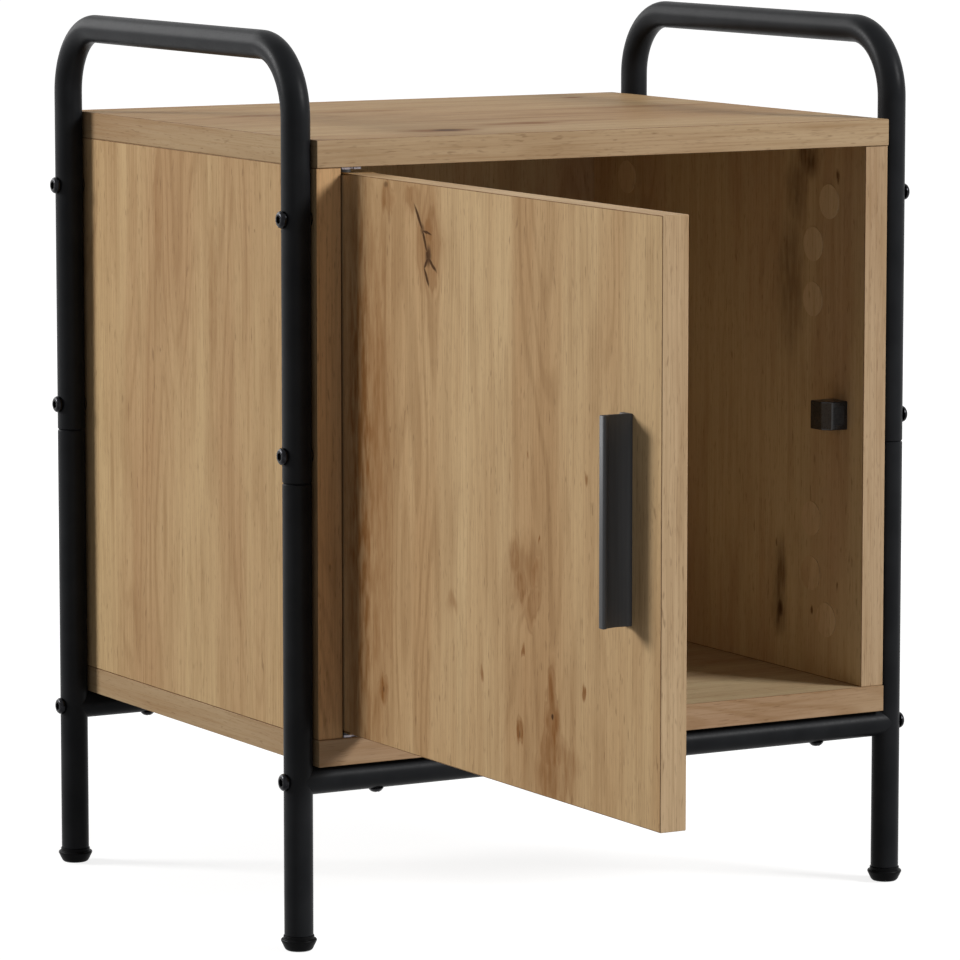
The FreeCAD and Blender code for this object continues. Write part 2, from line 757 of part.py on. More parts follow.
def make_bow(label, side):
    """Bent tube bow: up the front, over the top in two bends, and down the rear to the seams."""
    body = new_body(label, (leg_x * side, 0, 0))
    path = new_sketch(body, "YZ_Plane")
    start_y, end_y, bend = front_leg_y.value, rear_leg_y.value, size.bow_radius.value
    low, high = seam_z.value, bow_z.value

    def point(y, z):
        return FreeCAD.Vector(y, z, 0)

    def quarter(y, first_angle):
        circle = Part.Circle(point(y, high - bend), Z_AXIS, bend)
        return Part.ArcOfCircle(circle, first_angle, first_angle + math.pi / 2)

    rise = path.addGeometry(Part.LineSegment(point(start_y, low), point(start_y, high - bend)), False)
    front_bend = path.addGeometry(quarter(start_y + bend, math.pi / 2), False)
    top = path.addGeometry(Part.LineSegment(point(start_y + bend, high), point(end_y - bend, high)), False)
    rear_bend = path.addGeometry(quarter(end_y - bend, 0), False)
    fall = path.addGeometry(Part.LineSegment(point(end_y, high - bend), point(end_y, low)), False)
    path.addConstraint([
        Sketcher.Constraint("Vertical", rise),
        Sketcher.Constraint("Horizontal", top),
        Sketcher.Constraint("Vertical", fall),
        Sketcher.Constraint("Equal", front_bend, rear_bend),
    ])
    join(path, "Tangent", rise, SketchPoint.END, front_bend, SketchPoint.END)
    join(path, "Tangent", front_bend, SketchPoint.START, top, SketchPoint.START)
    join(path, "Tangent", top, SketchPoint.END, rear_bend, SketchPoint.END)
    join(path, "Tangent", rear_bend, SketchPoint.START, fall, SketchPoint.START)
    dimension(path, Sketcher.Constraint("Radius", front_bend, bend), size.bow_radius)
    fix_point(path, rise, SketchPoint.START, front_leg_y, seam_z)
    fix_point(path, fall, SketchPoint.END, rear_leg_y, seam_z)
    dimension(path, Sketcher.Constraint("DistanceY", *ORIGIN, top, SketchPoint.START, high), bow_z)

    section = new_sketch(body, "XY_Plane", seam_z)
    draw_circle(section, 0, front_leg_y, tube_radius)
    draw_circle(section, 0, front_leg_y, tube_bore)
    pipe = body.newObject("PartDesign::AdditivePipe", f"{label}_pipe")
    pipe.Profile = section
    pipe.Spine = (path, [])
    doc.recompute()

    holes = new_sketch(body, "YZ_Plane")
    draw_circles(holes, (front_leg_y, rear_leg_y), (upper_bolt_z, cabinet_middle), bolt_hole)
    cut(body, holes, size.tube_diameter * 2, symmetric=True)
    rim = tube_radius.value
    ease_edges(body, "Chamfer", size.seam_bevel, lambda middle, edge: is_seam_rim(middle, edge, rim))
    keep(body)


def is_seam_rim(middle, edge, radius):
    """Tells whether an edge is the outer rim of a bow's end at the seam."""
    level = abs(middle.z - seam_z.value) < SAME_PLACE
    return level and edge.Curve.TypeId == "Part::GeomCircle" and abs(edge.Curve.Radius - radius) < SAME_PLACE


def make_leg(label, side, y):
    """Lower leg: a tube whose upper end is drawn in to a neck that plugs into the bow."""
    neck = tube_bore - size.slip_clearance
    neck_bore = neck - size.tube_wall
    neck_top = seam_z + size.neck_length
    body = turned(label, [
        (tube_bore, leg_bottom),
        (tube_radius, leg_bottom),
        (tube_radius, seam_z - size.seam_bevel),
        (tube_radius - size.seam_bevel, seam_z),
        (neck, seam_z),
        (neck, neck_top),
        (neck_bore, neck_top),
        (neck_bore, seam_z - size.tube_wall),
        (tube_bore, seam_z - size.tube_wall - size.neck_taper),
    ], (leg_x * side, y, 0))
    holes = new_sketch(body, "YZ_Plane")
    draw_circles(holes, [0], (cross_z, cabinet_middle), bolt_hole)
    cut(body, holes, size.tube_diameter * 2, symmetric=True)
    keep(body)


def make_foot(label, side, y):
    """Foot cap: a ribbed plastic plug in the end of a leg, with a flange that tapers to the floor."""
    base = size.foot_base_diameter / 2
    flange = size.foot_flange_diameter / 2
    collar = size.foot_collar_diameter / 2
    plug = tube_bore - size.slip_clearance
    core = plug - size.foot_rib_height
    step = size.foot_plug_length / FOOT_RIBS
    outline = [
        (0, 0),
        (base - size.foot_edge, 0),
        (base, size.foot_edge),
        (flange, size.foot_height - size.foot_rim),
        (flange - size.foot_rim / 2, size.foot_height),
        (collar, size.foot_height),
        (collar, leg_bottom),
        (core, leg_bottom),
    ]
    for rib in range(FOOT_RIBS):
        rib_top = leg_bottom + step * (rib + 1)
        outline += [(core, rib_top - size.foot_rib), (plug, rib_top - size.foot_rib), (core, rib_top)]
    outline.append((0, leg_bottom + size.foot_plug_length))
    keep(turned(label, outline, (leg_x * side, y, 0)))


def make_cross_tube(label, y):
    """Cross tube under the cabinet, coped at both ends to fit round the legs."""
    body = new_body(label, (0, y, cross_z))
    section = new_sketch(body, "YZ_Plane")
    draw_circle(section, 0, 0, tube_radius)
    draw_circle(section, 0, 0, tube_bore)
    pad(body, section, leg_x * 2, symmetric=True)
    copes = new_sketch(body, "XY_Plane")
    draw_circles(copes, (-leg_x, leg_x), [0], tube_radius + size.cope_clearance)
    cut(body, copes, size.tube_diameter * 2, symmetric=True)
    holes = new_sketch(body, "XY_Plane")
    draw_circles(holes, (-cross_screw_x, cross_screw_x), [0], cross_screw_radius + size.bolt_clearance)
    cut(body, holes, size.tube_diameter * 2, symmetric=True)
    keep(body)


def make_bolt(label, length):
    """Domed bolt with a hexagon socket; its head rests on the plane z = 0."""
    head = size.bolt_head_diameter / 2
    body = turned(label, [
        (0, -length),
        (bolt_radius - size.seam_bevel, -length),
        (bolt_radius, -length + size.seam_bevel),
        (bolt_radius, 0),
        (head, 0),
        (head, size.bolt_head_height),
        (0, size.bolt_head_height),
    ])
    ease_edges(body, "Fillet", size.bolt_head_dome, lambda middle, edge: is_head_rim(middle, head))
    socket = new_sketch(body, "XY_Plane", size.bolt_head_height)
    corner = size.bolt_socket / 2 / math.cos(math.pi / HEX_SIDES)
    angles = [2 * math.pi * number / HEX_SIDES + math.pi / HEX_SIDES for number in range(HEX_SIDES)]
    draw_outline(socket, [(corner * math.cos(angle), corner * math.sin(angle)) for angle in angles])
    cut(body, socket, size.bolt_socket_depth)
    return body


def is_head_rim(middle, radius):
    """Tells whether a point lies on the upper rim of a bolt head."""
    height_error = abs(middle.z - size.bolt_head_height.value)
    radius_error = abs(math.hypot(middle.x, middle.y) - radius.value)
    return height_error < SAME_PLACE and radius_error < SAME_PLACE


def make_pan_screw(label, radius, length, head_diameter, head_height):
    """Pan head screw; its head rests on the plane z = 0 and its shank runs down."""
    head = head_diameter / 2
    return turned(label, [
        (0, -length),
        (radius, -length + radius),
        (radius, 0),
        (head, 0),
        (head, head_height / 2),
        (head - head_height / 2, head_height),
        (0, head_height),
    ])


def make_frame():
    """The tube frame with its feet, bolts, inserts and screws."""
    sides = (("left", -1), ("right", 1))
    rows = (("front", front_leg_y), ("rear", rear_leg_y))
    for side_name, side in sides:
        make_bow(f"{side_name}_bow", side)
        for row_name, y in rows:
            make_leg(f"{side_name}_{row_name}_leg", side, y)
            make_foot(f"{side_name}_{row_name}_foot", side, y)
    for row_name, y in rows:
        make_cross_tube(f"{row_name}_cross_tube", y)

    plug_end = leg_x - tube_radius - size.plug_gap
    plug = turned("plug", [
        (thread_bore, -size.plug_length),
        (tube_bore - size.slip_clearance, -size.plug_length),
        (tube_bore - size.slip_clearance, 0),
        (thread_bore, 0),
    ])
    insert = turned("insert", [
        (thread_bore, -size.insert_length),
        (size.insert_diameter / 2, -size.insert_length),
        (size.insert_diameter / 2, 0),
        (thread_bore, 0),
    ])
    turns = ((-1, LEFT), (1, RIGHT))
    leg_rows = (front_leg_y, rear_leg_y)
    heights = (upper_bolt_z, cabinet_middle)
    repeat("cross_tube_plugs", plug, [
        (plug_end * side, y, cross_z, turn) for side, turn in turns for y in leg_rows
    ])
    repeat("panel_inserts", insert, [
        (half_width * side, y, z, turn) for side, turn in turns for y in leg_rows for z in heights
    ])
    side_bolt = make_bolt("side_bolt", size.tube_diameter + size.insert_length - size.end_clearance)
    repeat("side_bolts", side_bolt, [
        (outer_x * side, y, z, turn) for side, turn in turns for y in leg_rows for z in heights
    ])
    leg_bolt_length = size.tube_diameter + size.plug_gap + size.plug_length - size.end_clearance
    leg_bolt = make_bolt("leg_bolt", leg_bolt_length)
    repeat("leg_bolts", leg_bolt, [(outer_x * side, y, cross_z, turn) for side, turn in turns for y in leg_rows])

    screw_length = size.tube_diameter + size.cross_screw_bite
    screw = make_pan_screw(
        "cross_screw", cross_screw_radius, screw_length, size.cross_screw_head, size.cross_screw_head_height
    )
    screw_z = cabinet_bottom - size.tube_diameter
    repeat("cross_tube_screws", screw, [
        (cross_screw_x * side, y, screw_z, DOWN) for side in (-1, 1) for y in leg_rows
    ])


def make_hinges():
    """Pivot hinges: plates on the cabinet with pins and washers, and angle leaves let into the door."""
    plate = new_body("upper_hinge_plate", (pivot_x, pivot_y, side_top - size.hinge_sheet))
    outline = new_sketch(plate, "XY_Plane")
    plate_front = door_face
    plate_right = plate_left + size.hinge_plate_width
    plate_rear = plate_front + size.hinge_plate_length
    draw_rectangle(outline, plate_left, plate_right, plate_front, plate_rear)
    pad(plate, outline, size.hinge_sheet)
    ease_edges(plate, "Fillet", size.hinge_plate_corner, lambda middle, edge: runs_along(edge, Z_AXIS))
    holes = new_sketch(plate, "XY_Plane")
    draw_circle(holes, 0, 0, pin_radius + size.fit_clearance)
    for y in hinge_screw_steps:
        draw_circle(holes, plate_screw_x, y, hinge_screw_hole)
    draw_circle(holes, plate_screw_x, plate_front, size.hinge_notch_diameter / 2)
    cut(plate, holes, size.hinge_sheet, reverse=True)
    sink_radius = hinge_screw_hole.value
    ease_edges(plate, "Chamfer", hinge_screw_sink, lambda middle, edge: is_sink(edge, Z_AXIS, -1, sink_radius))
    keep(plate)
    keep(mirrored("lower_hinge_plate", plate))

    pin_length = size.door_gap_end + size.leaf_sink - size.hinge_tip_gap
    pin = rod("upper_pin", pin_radius, pin_length)
    bind_place(pin, (pivot_x, pivot_y, side_top - pin_length))
    group("hinge_pins", [pin, mirrored("lower_pin", pin)])

    washer_z = side_top - size.hinge_sheet - size.hinge_washer_thickness
    washer = new_body("upper_washer", (pivot_x, pivot_y, washer_z))
    ring = new_sketch(washer, "XY_Plane")
    draw_circle(ring, 0, 0, size.hinge_eye_diameter / 2)
    draw_circle(ring, 0, 0, pin_hole)
    pad(washer, ring, size.hinge_washer_thickness)
    group("hinge_washers", [washer, mirrored("lower_washer", washer)])

    leaf = new_body("upper_hinge_leaf", (pivot_x, pivot_y, upper_leaf_z), DOOR_TURN)
    flange_back = door_back + size.hinge_sheet
    tab = new_sketch(leaf, "XY_Plane")
    draw_rectangle(tab, door_hinge_edge, leaf_right, door_face, flange_back)
    pad(leaf, tab, size.hinge_sheet)
    eye = new_sketch(leaf, "XY_Plane")
    draw_circle(eye, 0, 0, size.hinge_eye_diameter / 2)
    pad(leaf, eye, size.hinge_sheet)
    flange = new_sketch(leaf, "XZ_Plane", -door_back)
    draw_rectangle(flange, door_hinge_edge, leaf_right, -size.leaf_flange, size.hinge_sheet)
    pad(leaf, flange, size.hinge_sheet, reverse=True)
    eye_hole = new_sketch(leaf, "XY_Plane")
    draw_circle(eye_hole, 0, 0, pin_hole)
    cut(leaf, eye_hole, size.hinge_sheet, reverse=True)
    leaf_holes = new_sketch(leaf, "XZ_Plane", -door_back)
    for drop in hinge_screw_steps:
        draw_circle(leaf_holes, leaf_screw_x, -drop, hinge_screw_hole)
    cut(leaf, leaf_holes, size.hinge_sheet)
    ease_edges(leaf, "Chamfer", hinge_screw_sink, lambda middle, edge: is_sink(edge, Y_AXIS, 1, sink_radius))
    keep(leaf)
    keep(mirrored("lower_hinge_leaf", leaf))

    head = size.hinge_screw_head / 2
    screw = turned("hinge_screw", [
        (0, -size.hinge_screw_length),
        (hinge_screw_radius, -size.hinge_screw_length + size.hinge_screw_diameter),
        (hinge_screw_radius, -hinge_screw_sink),
        (head, 0),
        (0, 0),
    ])
    below = side_top - size.hinge_sheet
    above = side_bottom + size.hinge_sheet
    plate_places = []
    for y in hinge_screw_steps:
        plate_places.append((pivot_x + plate_screw_x, pivot_y + y, below, DOWN))
        plate_places.append((pivot_x + plate_screw_x, pivot_y + y, above, UP))
    repeat("hinge_plate_screws", screw, plate_places)
    leaf_places = []
    for drop in hinge_screw_steps:
        for height in (upper_leaf_z - drop, lower_leaf_z + drop):
            leaf_places.append((pivot_x + flange_back, pivot_y - leaf_screw_x, height, RIGHT))
    repeat("hinge_leaf_screws", screw, leaf_places)


def is_sink(edge, axis, side, radius):
    """Tells whether an edge is a screw hole's rim on one side of a sheet that lies across an axis."""
    if edge.Curve.TypeId != "Part::GeomCircle" or abs(edge.Curve.Radius - radius) > SAME_PLACE:
        return False
    half_sheet = size.hinge_sheet.value / 2
    middle = FreeCAD.Vector(0, door_back.value + half_sheet, half_sheet)
    return parallel(edge.Curve.Axis, axis) and (edge.Curve.Center - middle).dot(axis) * side > 0


def make_door():
    """Door board with its handle, its strike plate and their screws."""
    place = (pivot_x, pivot_y, 0)
    door = new_body("door_panel", place, DOOR_TURN)
    outline = new_sketch(door, "XY_Plane", door_bottom)
    draw_rectangle(outline, door_hinge_edge, door_free_edge, door_face, door_back)
    pad(door, outline, door_height)
    ease_edges(door, "Fillet", size.edge_radius)
    for end, upwards in ((door_top, False), (door_bottom, True)):
        seat = new_sketch(door, "XY_Plane", end)
        draw_rectangle(seat, door_hinge_edge, leaf_right + size.fit_clearance, door_face, door_back)
        cut(door, seat, size.leaf_sink, reverse=upwards)
    handle_holes = new_sketch(door, "XZ_Plane", -door_back)
    draw_circles(handle_holes, [handle_screw_x], handle_screw_heights, handle_screw_radius + size.bolt_clearance)
    cut(door, handle_holes, size.board, reverse=True)
    screw_holes = new_sketch(door, "XZ_Plane", -door_back)
    heights = [height for drop in hinge_screw_steps for height in (upper_leaf_z - drop, lower_leaf_z + drop)]
    draw_circles(screw_holes, [leaf_screw_x], heights, hinge_screw_hole)
    draw_circle(screw_holes, strike_x, cabinet_middle, hinge_screw_hole)
    cut(door, screw_holes, size.hinge_screw_length, reverse=True)
    keep(door)

    handle = new_body("door_handle", place, DOOR_TURN)
    profile = new_sketch(handle, "XY_Plane", cabinet_middle - size.handle_length / 2)
    base_left = handle_side - size.handle_base_width
    base_face = door_face - size.handle_base_thickness
    blade_left = handle_side - size.handle_blade
    tip = door_face - size.handle_reach
    lip_root = tip + size.handle_lip_depth
    lip_side = handle_side + size.handle_lip
    draw_outline(profile, [
        (base_left, door_face),
        (handle_side, door_face),
        (handle_side, lip_root),
        (lip_side, lip_root - size.handle_lip),
        (lip_side, tip),
        (blade_left, tip),
        (blade_left, base_face),
        (base_left, base_face),
    ])
    pad(handle, profile, size.handle_length)
    hollow = new_sketch(handle, "XY_Plane", cabinet_middle - size.handle_length / 2)
    draw_hollow(hollow, handle_side, lip_root, door_face - size.handle_land, size.handle_hollow)
    cut(handle, hollow, size.handle_length, reverse=True)
    root = (blade_left.value, base_face.value)
    soft = [(lip_side.value, tip.value), (blade_left.value, tip.value), (base_left.value, base_face.value)]
    soft.append((lip_side.value, lip_root.value - size.handle_lip.value))
    ease_edges(handle, "Fillet", size.handle_root_radius, lambda middle, edge: is_corner(middle, edge, [root]))
    ease_edges(handle, "Fillet", size.handle_rounding, lambda middle, edge: is_corner(middle, edge, soft))
    tapped_holes = new_sketch(handle, "XZ_Plane", -door_face)
    tapped_radius = handle_screw_radius + size.fit_clearance
    draw_circles(tapped_holes, [handle_screw_x], handle_screw_heights, tapped_radius)
    cut(handle, tapped_holes, size.handle_screw_bite + size.fit_clearance, reverse=True)
    keep(handle)

    screw = make_pan_screw(
        "handle_screw",
        handle_screw_radius,
        size.board + size.handle_screw_bite,
        size.handle_screw_head,
        size.handle_screw_head_height,
    )
    back_x = pivot_x + door_back
    repeat("handle_screws", screw, [
        (back_x, pivot_y - handle_screw_x, height, RIGHT) for height in handle_screw_heights
    ])

    strike = new_body("strike_plate", place, DOOR_TURN)
    outline = new_sketch(strike, "XZ_Plane", -door_back)
    half_strike = size.strike_width / 2
    low = cabinet_middle - size.strike_height / 2
    high = cabinet_middle + size.strike_height / 2
    draw_rectangle(outline, strike_x - half_strike, strike_x + half_strike, low, high)
    pad(strike, outline, size.strike_thickness, reverse=True)
    corner_rows = (low.value, high.value)
    ease_edges(strike, "Fillet", size.strike_corner, lambda middle, edge: is_across(middle, edge, corner_rows))
    hole = new_sketch(strike, "XZ_Plane", -door_back)
    draw_circle(hole, strike_x, cabinet_middle, hinge_screw_hole)
    cut(strike, hole, size.strike_thickness)
    rim = hinge_screw_hole.value
    ease_edges(strike, "Chamfer", size.strike_thickness / 2, lambda middle, edge: is_sink(edge, Y_AXIS, 1, rim))
    keep(strike)
    sink = size.strike_thickness / 2
    length = size.hinge_screw_length
    strike_screw = turned("strike_screw", [
        (0, -length),
        (hinge_screw_radius, -length + size.hinge_screw_diameter),
        (hinge_screw_radius, -sink),
        (hinge_screw_radius + sink, 0),
        (0, 0),
    ])
    bind_place(strike_screw, (back_x + size.strike_thickness, pivot_y - strike_x, cabinet_middle), RIGHT)
    keep(strike_screw)


def is_corner(middle, edge, corners):
    """Tells whether an edge runs upright through one of the listed corners."""
    near = any(math.hypot(middle.x - x, middle.y - y) < SAME_PLACE for x, y in corners)
    return near and runs_along(edge, Z_AXIS)


def is_across(middle, edge, rows):
    """Tells whether an edge runs through the plate's thickness at one of the listed heights."""
    return runs_along(edge, Y_AXIS) and any(abs(middle.z - row) < SAME_PLACE for row in rows)


def make_catch():
    """Magnetic catch: a bevelled housing with a push-in stub, and the magnet in its mouth."""
    low = cabinet_middle - size.catch_height / 2
    body = new_body("catch_housing", (inner_right - size.catch_reach, catch_front, low))
    outline = new_sketch(body, "XY_Plane")
    draw_rectangle(outline, 0, size.catch_reach, 0, size.catch_depth)
    pad(body, outline, size.catch_height)
    ease_edges(body, "Chamfer", size.catch_bevel, lambda middle, edge: is_corner(middle, edge, [(0.0, 0.0)]))
    ease_edges(body, "Fillet", size.catch_edge, lambda middle, edge: is_free_edge(middle))
    mouth = new_sketch(body, "XZ_Plane")
    mouth_left = size.catch_reach - size.magnet_inset - size.magnet_width
    mouth_right = mouth_left + size.magnet_width
    mouth_low = (size.catch_height - size.magnet_height) / 2
    mouth_high = mouth_low + size.magnet_height
    draw_rectangle(mouth, mouth_left, mouth_right, mouth_low, mouth_high)
    cut(body, mouth, size.magnet_depth)
    stub = new_sketch(body, "YZ_Plane", size.catch_reach)
    draw_circle(stub, size.catch_depth / 2, size.catch_height / 2, size.catch_stub_diameter / 2)
    pad(body, stub, size.catch_stub_length)
    keep(body)

    magnet = doc.addObject("Part::Box", "catch_magnet")
    bind(magnet, "Length", size.magnet_width - size.fit_clearance * 2)
    bind(magnet, "Width", size.magnet_depth)
    bind(magnet, "Height", size.magnet_height - size.fit_clearance * 2)
    magnet_x = inner_right - size.catch_reach + mouth_left + size.fit_clearance
    bind_place(magnet, (magnet_x, catch_front, low + mouth_low + size.fit_clearance))
    keep(magnet)


def is_free_edge(middle):
    """Tells whether an edge of the catch lies away from the board that it is pushed against."""
    return middle.x < size.catch_reach.value - SAME_PLACE


def main():
    """Builds every sub-part, checks it and writes its file."""
    make_top_panel()
    make_bottom_panel()
    make_side_panel("left_side_panel", left=True)
    make_side_panel("right_side_panel", left=False)
    make_back_panel()
    make_corner_joints()
    make_cover_discs()
    make_frame()
    make_hinges()
    make_door()
    make_catch()
    doc.recompute()

    failed = [thing.Name for thing in doc.Objects if {"Invalid", "Error"} & set(thing.State)]
    failed += [part.Label for part in subparts if part.Shape.isNull() or not part.Shape.isValid()]
    if failed:
        raise RuntimeError(f"not built: {failed}")
    os.makedirs("parts", exist_ok=True)
    for part in subparts:
        part.Shape.exportStep(f"parts/{part.Label}.step")
        print(part.Label, len(part.Shape.Solids), round(part.Shape.Volume, 1))


main()
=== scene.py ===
"""Dresses the nightstand: oak-print boards and one open door in a black tube frame, in a studio."""
import logging
import math
from abc import ABC, abstractmethod
from dataclasses import dataclass, field
from enum import Enum

import bpy
import numpy as np
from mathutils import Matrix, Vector


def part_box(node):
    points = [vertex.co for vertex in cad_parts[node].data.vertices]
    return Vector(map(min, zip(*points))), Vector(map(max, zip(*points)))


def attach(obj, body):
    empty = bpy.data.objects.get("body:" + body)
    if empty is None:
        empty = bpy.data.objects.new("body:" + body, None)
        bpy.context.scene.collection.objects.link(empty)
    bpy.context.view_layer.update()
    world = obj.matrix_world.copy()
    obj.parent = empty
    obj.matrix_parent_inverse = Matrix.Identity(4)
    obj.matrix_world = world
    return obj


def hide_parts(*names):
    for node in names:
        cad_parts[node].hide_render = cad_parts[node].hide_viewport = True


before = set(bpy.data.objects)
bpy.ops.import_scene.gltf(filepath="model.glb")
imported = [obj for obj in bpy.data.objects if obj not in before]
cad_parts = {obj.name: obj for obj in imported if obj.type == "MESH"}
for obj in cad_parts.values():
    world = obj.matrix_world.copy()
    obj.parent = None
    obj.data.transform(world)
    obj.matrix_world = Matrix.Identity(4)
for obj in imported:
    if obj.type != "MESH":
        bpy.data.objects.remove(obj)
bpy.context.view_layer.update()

LOG = logging.getLogger("nightstand")
MM = 0.001
WHITE = (1.0, 1.0, 1.0, 1.0)
SIDES = ("left", "right")
ROWS = ("front", "rear")
Array = np.ndarray
Point = tuple[float, float, float]
Tree, Node, Socket = bpy.types.NodeTree, bpy.types.Node, bpy.types.NodeSocket


class Axis(Enum):
    """The three directions of the part's frame, also used for the run of a grain."""

    X = 0
    Y = 1
    Z = 2


class Tone(Enum):
    """What a mark does to the oak print: soft brown stain and painted shade, or a near-black crack.
    """

    STAIN = "stain_and_shade"
    CRACK = "crack"


# Shapes in millimetres

ROUNDING_SHARE = 0.48  # of the shorter edge, so that two roundings on it stay apart
SAME_PLACE = 1e-6
WELD_DIGITS = 5
RIM_FINISH = 2  # of a board, after its two broad faces
BAND_FINISH = 3


@dataclass
class Shape:
    """A skin of quads and many-sided caps over points in millimetres.

    Attributes:
        points: Point places, one row each.
        quads: Four point numbers for each quad.
        caps: Point numbers of each many-sided face.
        finish: Number of the finish on each quad; the caps take the first finish.
        normals: Unit normals at the points, where the shape's formula gives them.
    """

    points: Array
    quads: Array
    caps: list[Array] = field(default_factory=list)
    finish: Array | None = None
    normals: Array | None = None

    def volume(self) -> float:
        """Sums the signed volumes of the cones from the origin to every face.

        Returns:
            The volume, which is positive where the faces point outwards.
        """
        a, b, c, d = np.moveaxis(self.points[self.quads], 1, 0)
        six_times = np.einsum("ij,ij->", a, np.cross(b, c) + np.cross(c, d))
        for cap in self.caps:
            ring = self.points[cap]
            six_times += np.einsum("j,ij->", ring[0], np.cross(ring[1:-1], ring[2:]))
        return six_times / 6

    def outward(self) -> "Shape":
        """Turns all faces round where the signed volume is negative.

        Returns:
            The shape itself, with its faces pointing outwards.
        """
        if self.volume() < 0:
            self.quads = self.quads[:, ::-1]
            self.caps = [cap[::-1] for cap in self.caps]
        return self

    def placed(self, spot: Point, axis: Point) -> "Shape":
        """Copies the shape with its +Z turned to an axis and its origin moved to a spot.

        Args:
            spot: Where the origin goes.
            axis: Unit direction along X, Y or Z that +Z turns to.

        Returns:
            The moved copy.
        """
        first = np.cross(np.roll(np.abs(axis), 1), axis)
        turn = np.stack([first, np.cross(axis, first), axis])
        return Shape(self.points @ turn + np.array(spot), self.quads, self.caps)


def merged(shapes: list[Shape]) -> Shape:
    """Puts several shapes into one, renumbering their points one after the other.

    Args:
        shapes: Shapes without finish numbers or normals of their own.

    Returns:
        One shape with all the faces.
    """
    starts = np.cumsum([0] + [len(shape.points) for shape in shapes])
    quads = np.concatenate([shape.quads + start for shape, start in zip(shapes, starts)])
    caps = [cap + start for shape, start in zip(shapes, starts) for cap in shape.caps]
    return Shape(np.concatenate([shape.points for shape in shapes]), quads, caps)


def grid_quads(rows: int, columns: int, closed: bool) -> Array:
    """Numbers the quads of a grid whose point (i, j) has the number i * columns + j.

    Args:
        rows: Number of rows.
        columns: Number of columns.
        closed: Whether the last column joins the first.

    Returns:
        Four point numbers for each quad.
    """
    number = np.arange(rows * columns).reshape(rows, columns)
    if closed:
        number = np.concatenate([number, number[:, :1]], axis=1)
    corners = (number[:-1, :-1], number[:-1, 1:], number[1:, 1:], number[1:, :-1])
    return np.stack([corner.ravel() for corner in corners], axis=1)


def skin(rings: Array) -> Shape:
    """Skins a stack of closed rings and caps its first and last ring.

    Args:
        rings: Points as rows by columns by three.

    Returns:
        The closed shape, facing outwards.
    """
    rows, columns = rings.shape[:2]
    number = np.arange(rows * columns).reshape(rows, columns)
    quads = grid_quads(rows, columns, closed=True)
    return Shape(rings.reshape(-1, 3), quads, [number[0][::-1], number[-1]]).outward()


def full_turn(steps: int) -> Array:
    """Gives evenly spaced angles over one turn."""
    return np.linspace(0, 2 * math.pi, steps, endpoint=False)


def turned(radius: Array, height: Array, angle: Array) -> Shape:
    """Skins rings about Z: at the angle a, radius r and height z give (r cos a, r sin a, z).

    Args:
        radius: Radii by rows, or by rows and angles.
        height: Heights by rows, or by rows and angles.
        angle: Angles of the columns.

    Returns:
        The closed shape.
    """
    places = (radius * np.cos(angle), radius * np.sin(angle), height)
    return skin(np.stack(np.broadcast_arrays(*places), axis=2))


def spun(profile: Array, steps: int, spot: Array) -> Shape:
    """Spins a profile about the upright line through a spot.

    Args:
        profile: Rows of radius and height.
        steps: Number of angles.
        spot: Place of the line; its height isn't used.

    Returns:
        The closed shape.
    """
    shape = turned(profile[:, :1], profile[:, 1:], full_turn(steps))
    shape.points[:, :2] += spot[:2]
    return shape


def softened(rows: Array, steps: int = 5) -> Array:
    """Rounds the corners of a closed outline.

    A corner P is replaced by the quadratic curve (1-t)^2 A + 2t(1-t) P + t^2 C, where A and C lie
    on its two edges at the corner's reach, held to just under half of the shorter edge. Repeated
    points are dropped.

    Args:
        rows: Two coordinates and the reach of the rounding for each corner, in order.
        steps: Points along each curve.

    Returns:
        The points of the rounded outline.
    """
    corners, reach = rows[:, :2], rows[:, 2]
    before = np.roll(corners, 1, axis=0) - corners
    after = np.roll(corners, -1, axis=0) - corners
    lengths = np.stack([np.linalg.norm(before, axis=1), np.linalg.norm(after, axis=1)])
    held = np.minimum(reach, ROUNDING_SHARE * lengths.min(axis=0))
    start = (corners + before * (held / lengths[0])[:, None])[:, None]
    end = (corners + after * (held / lengths[1])[:, None])[:, None]
    t = np.linspace(0, 1, steps)[None, :, None]
    curve = (1 - t) ** 2 * start + 2 * t * (1 - t) * corners[:, None] + t**2 * end
    points = curve.reshape(-1, 2)
    apart = np.linalg.norm(points - np.roll(points, 1, axis=0), axis=1) > SAME_PLACE
    return points[apart]


def inset(outline: Array, depth: float) -> Array:
    """Moves each point of a closed outline along the mean of its two edges' inner normals.

    Args:
        outline: Points in order, anticlockwise.
        depth: Distance inwards.

    Returns:
        The moved outline.
    """
    edge = np.roll(outline, -1, axis=0) - outline
    edge /= np.linalg.norm(edge, axis=1, keepdims=True)
    normal = np.stack([-edge[:, 1], edge[:, 0]], axis=1)
    mean = normal + np.roll(normal, 1, axis=0)
    mean /= np.linalg.norm(mean, axis=1, keepdims=True)
    return outline + depth * mean


def drawn_bar(outline: Array, low: float, high: float, ease: float) -> Shape:
    """Draws a closed outline along Z and eases its two end rims by an inset of the end rings.

    Args:
        outline: Points in the XY plane, anticlockwise.
        low: Height of the lower end.
        high: Height of the upper end.
        ease: Size of the eased rims.

    Returns:
        The closed bar.
    """
    levels = np.array([low, low + ease, high - ease, high])
    rings = np.stack([inset(outline, ease), outline, outline, inset(outline, ease)])
    heights = np.broadcast_to(levels[:, None, None], (len(levels), len(outline), 1))
    return skin(np.concatenate([rings, heights], axis=2))


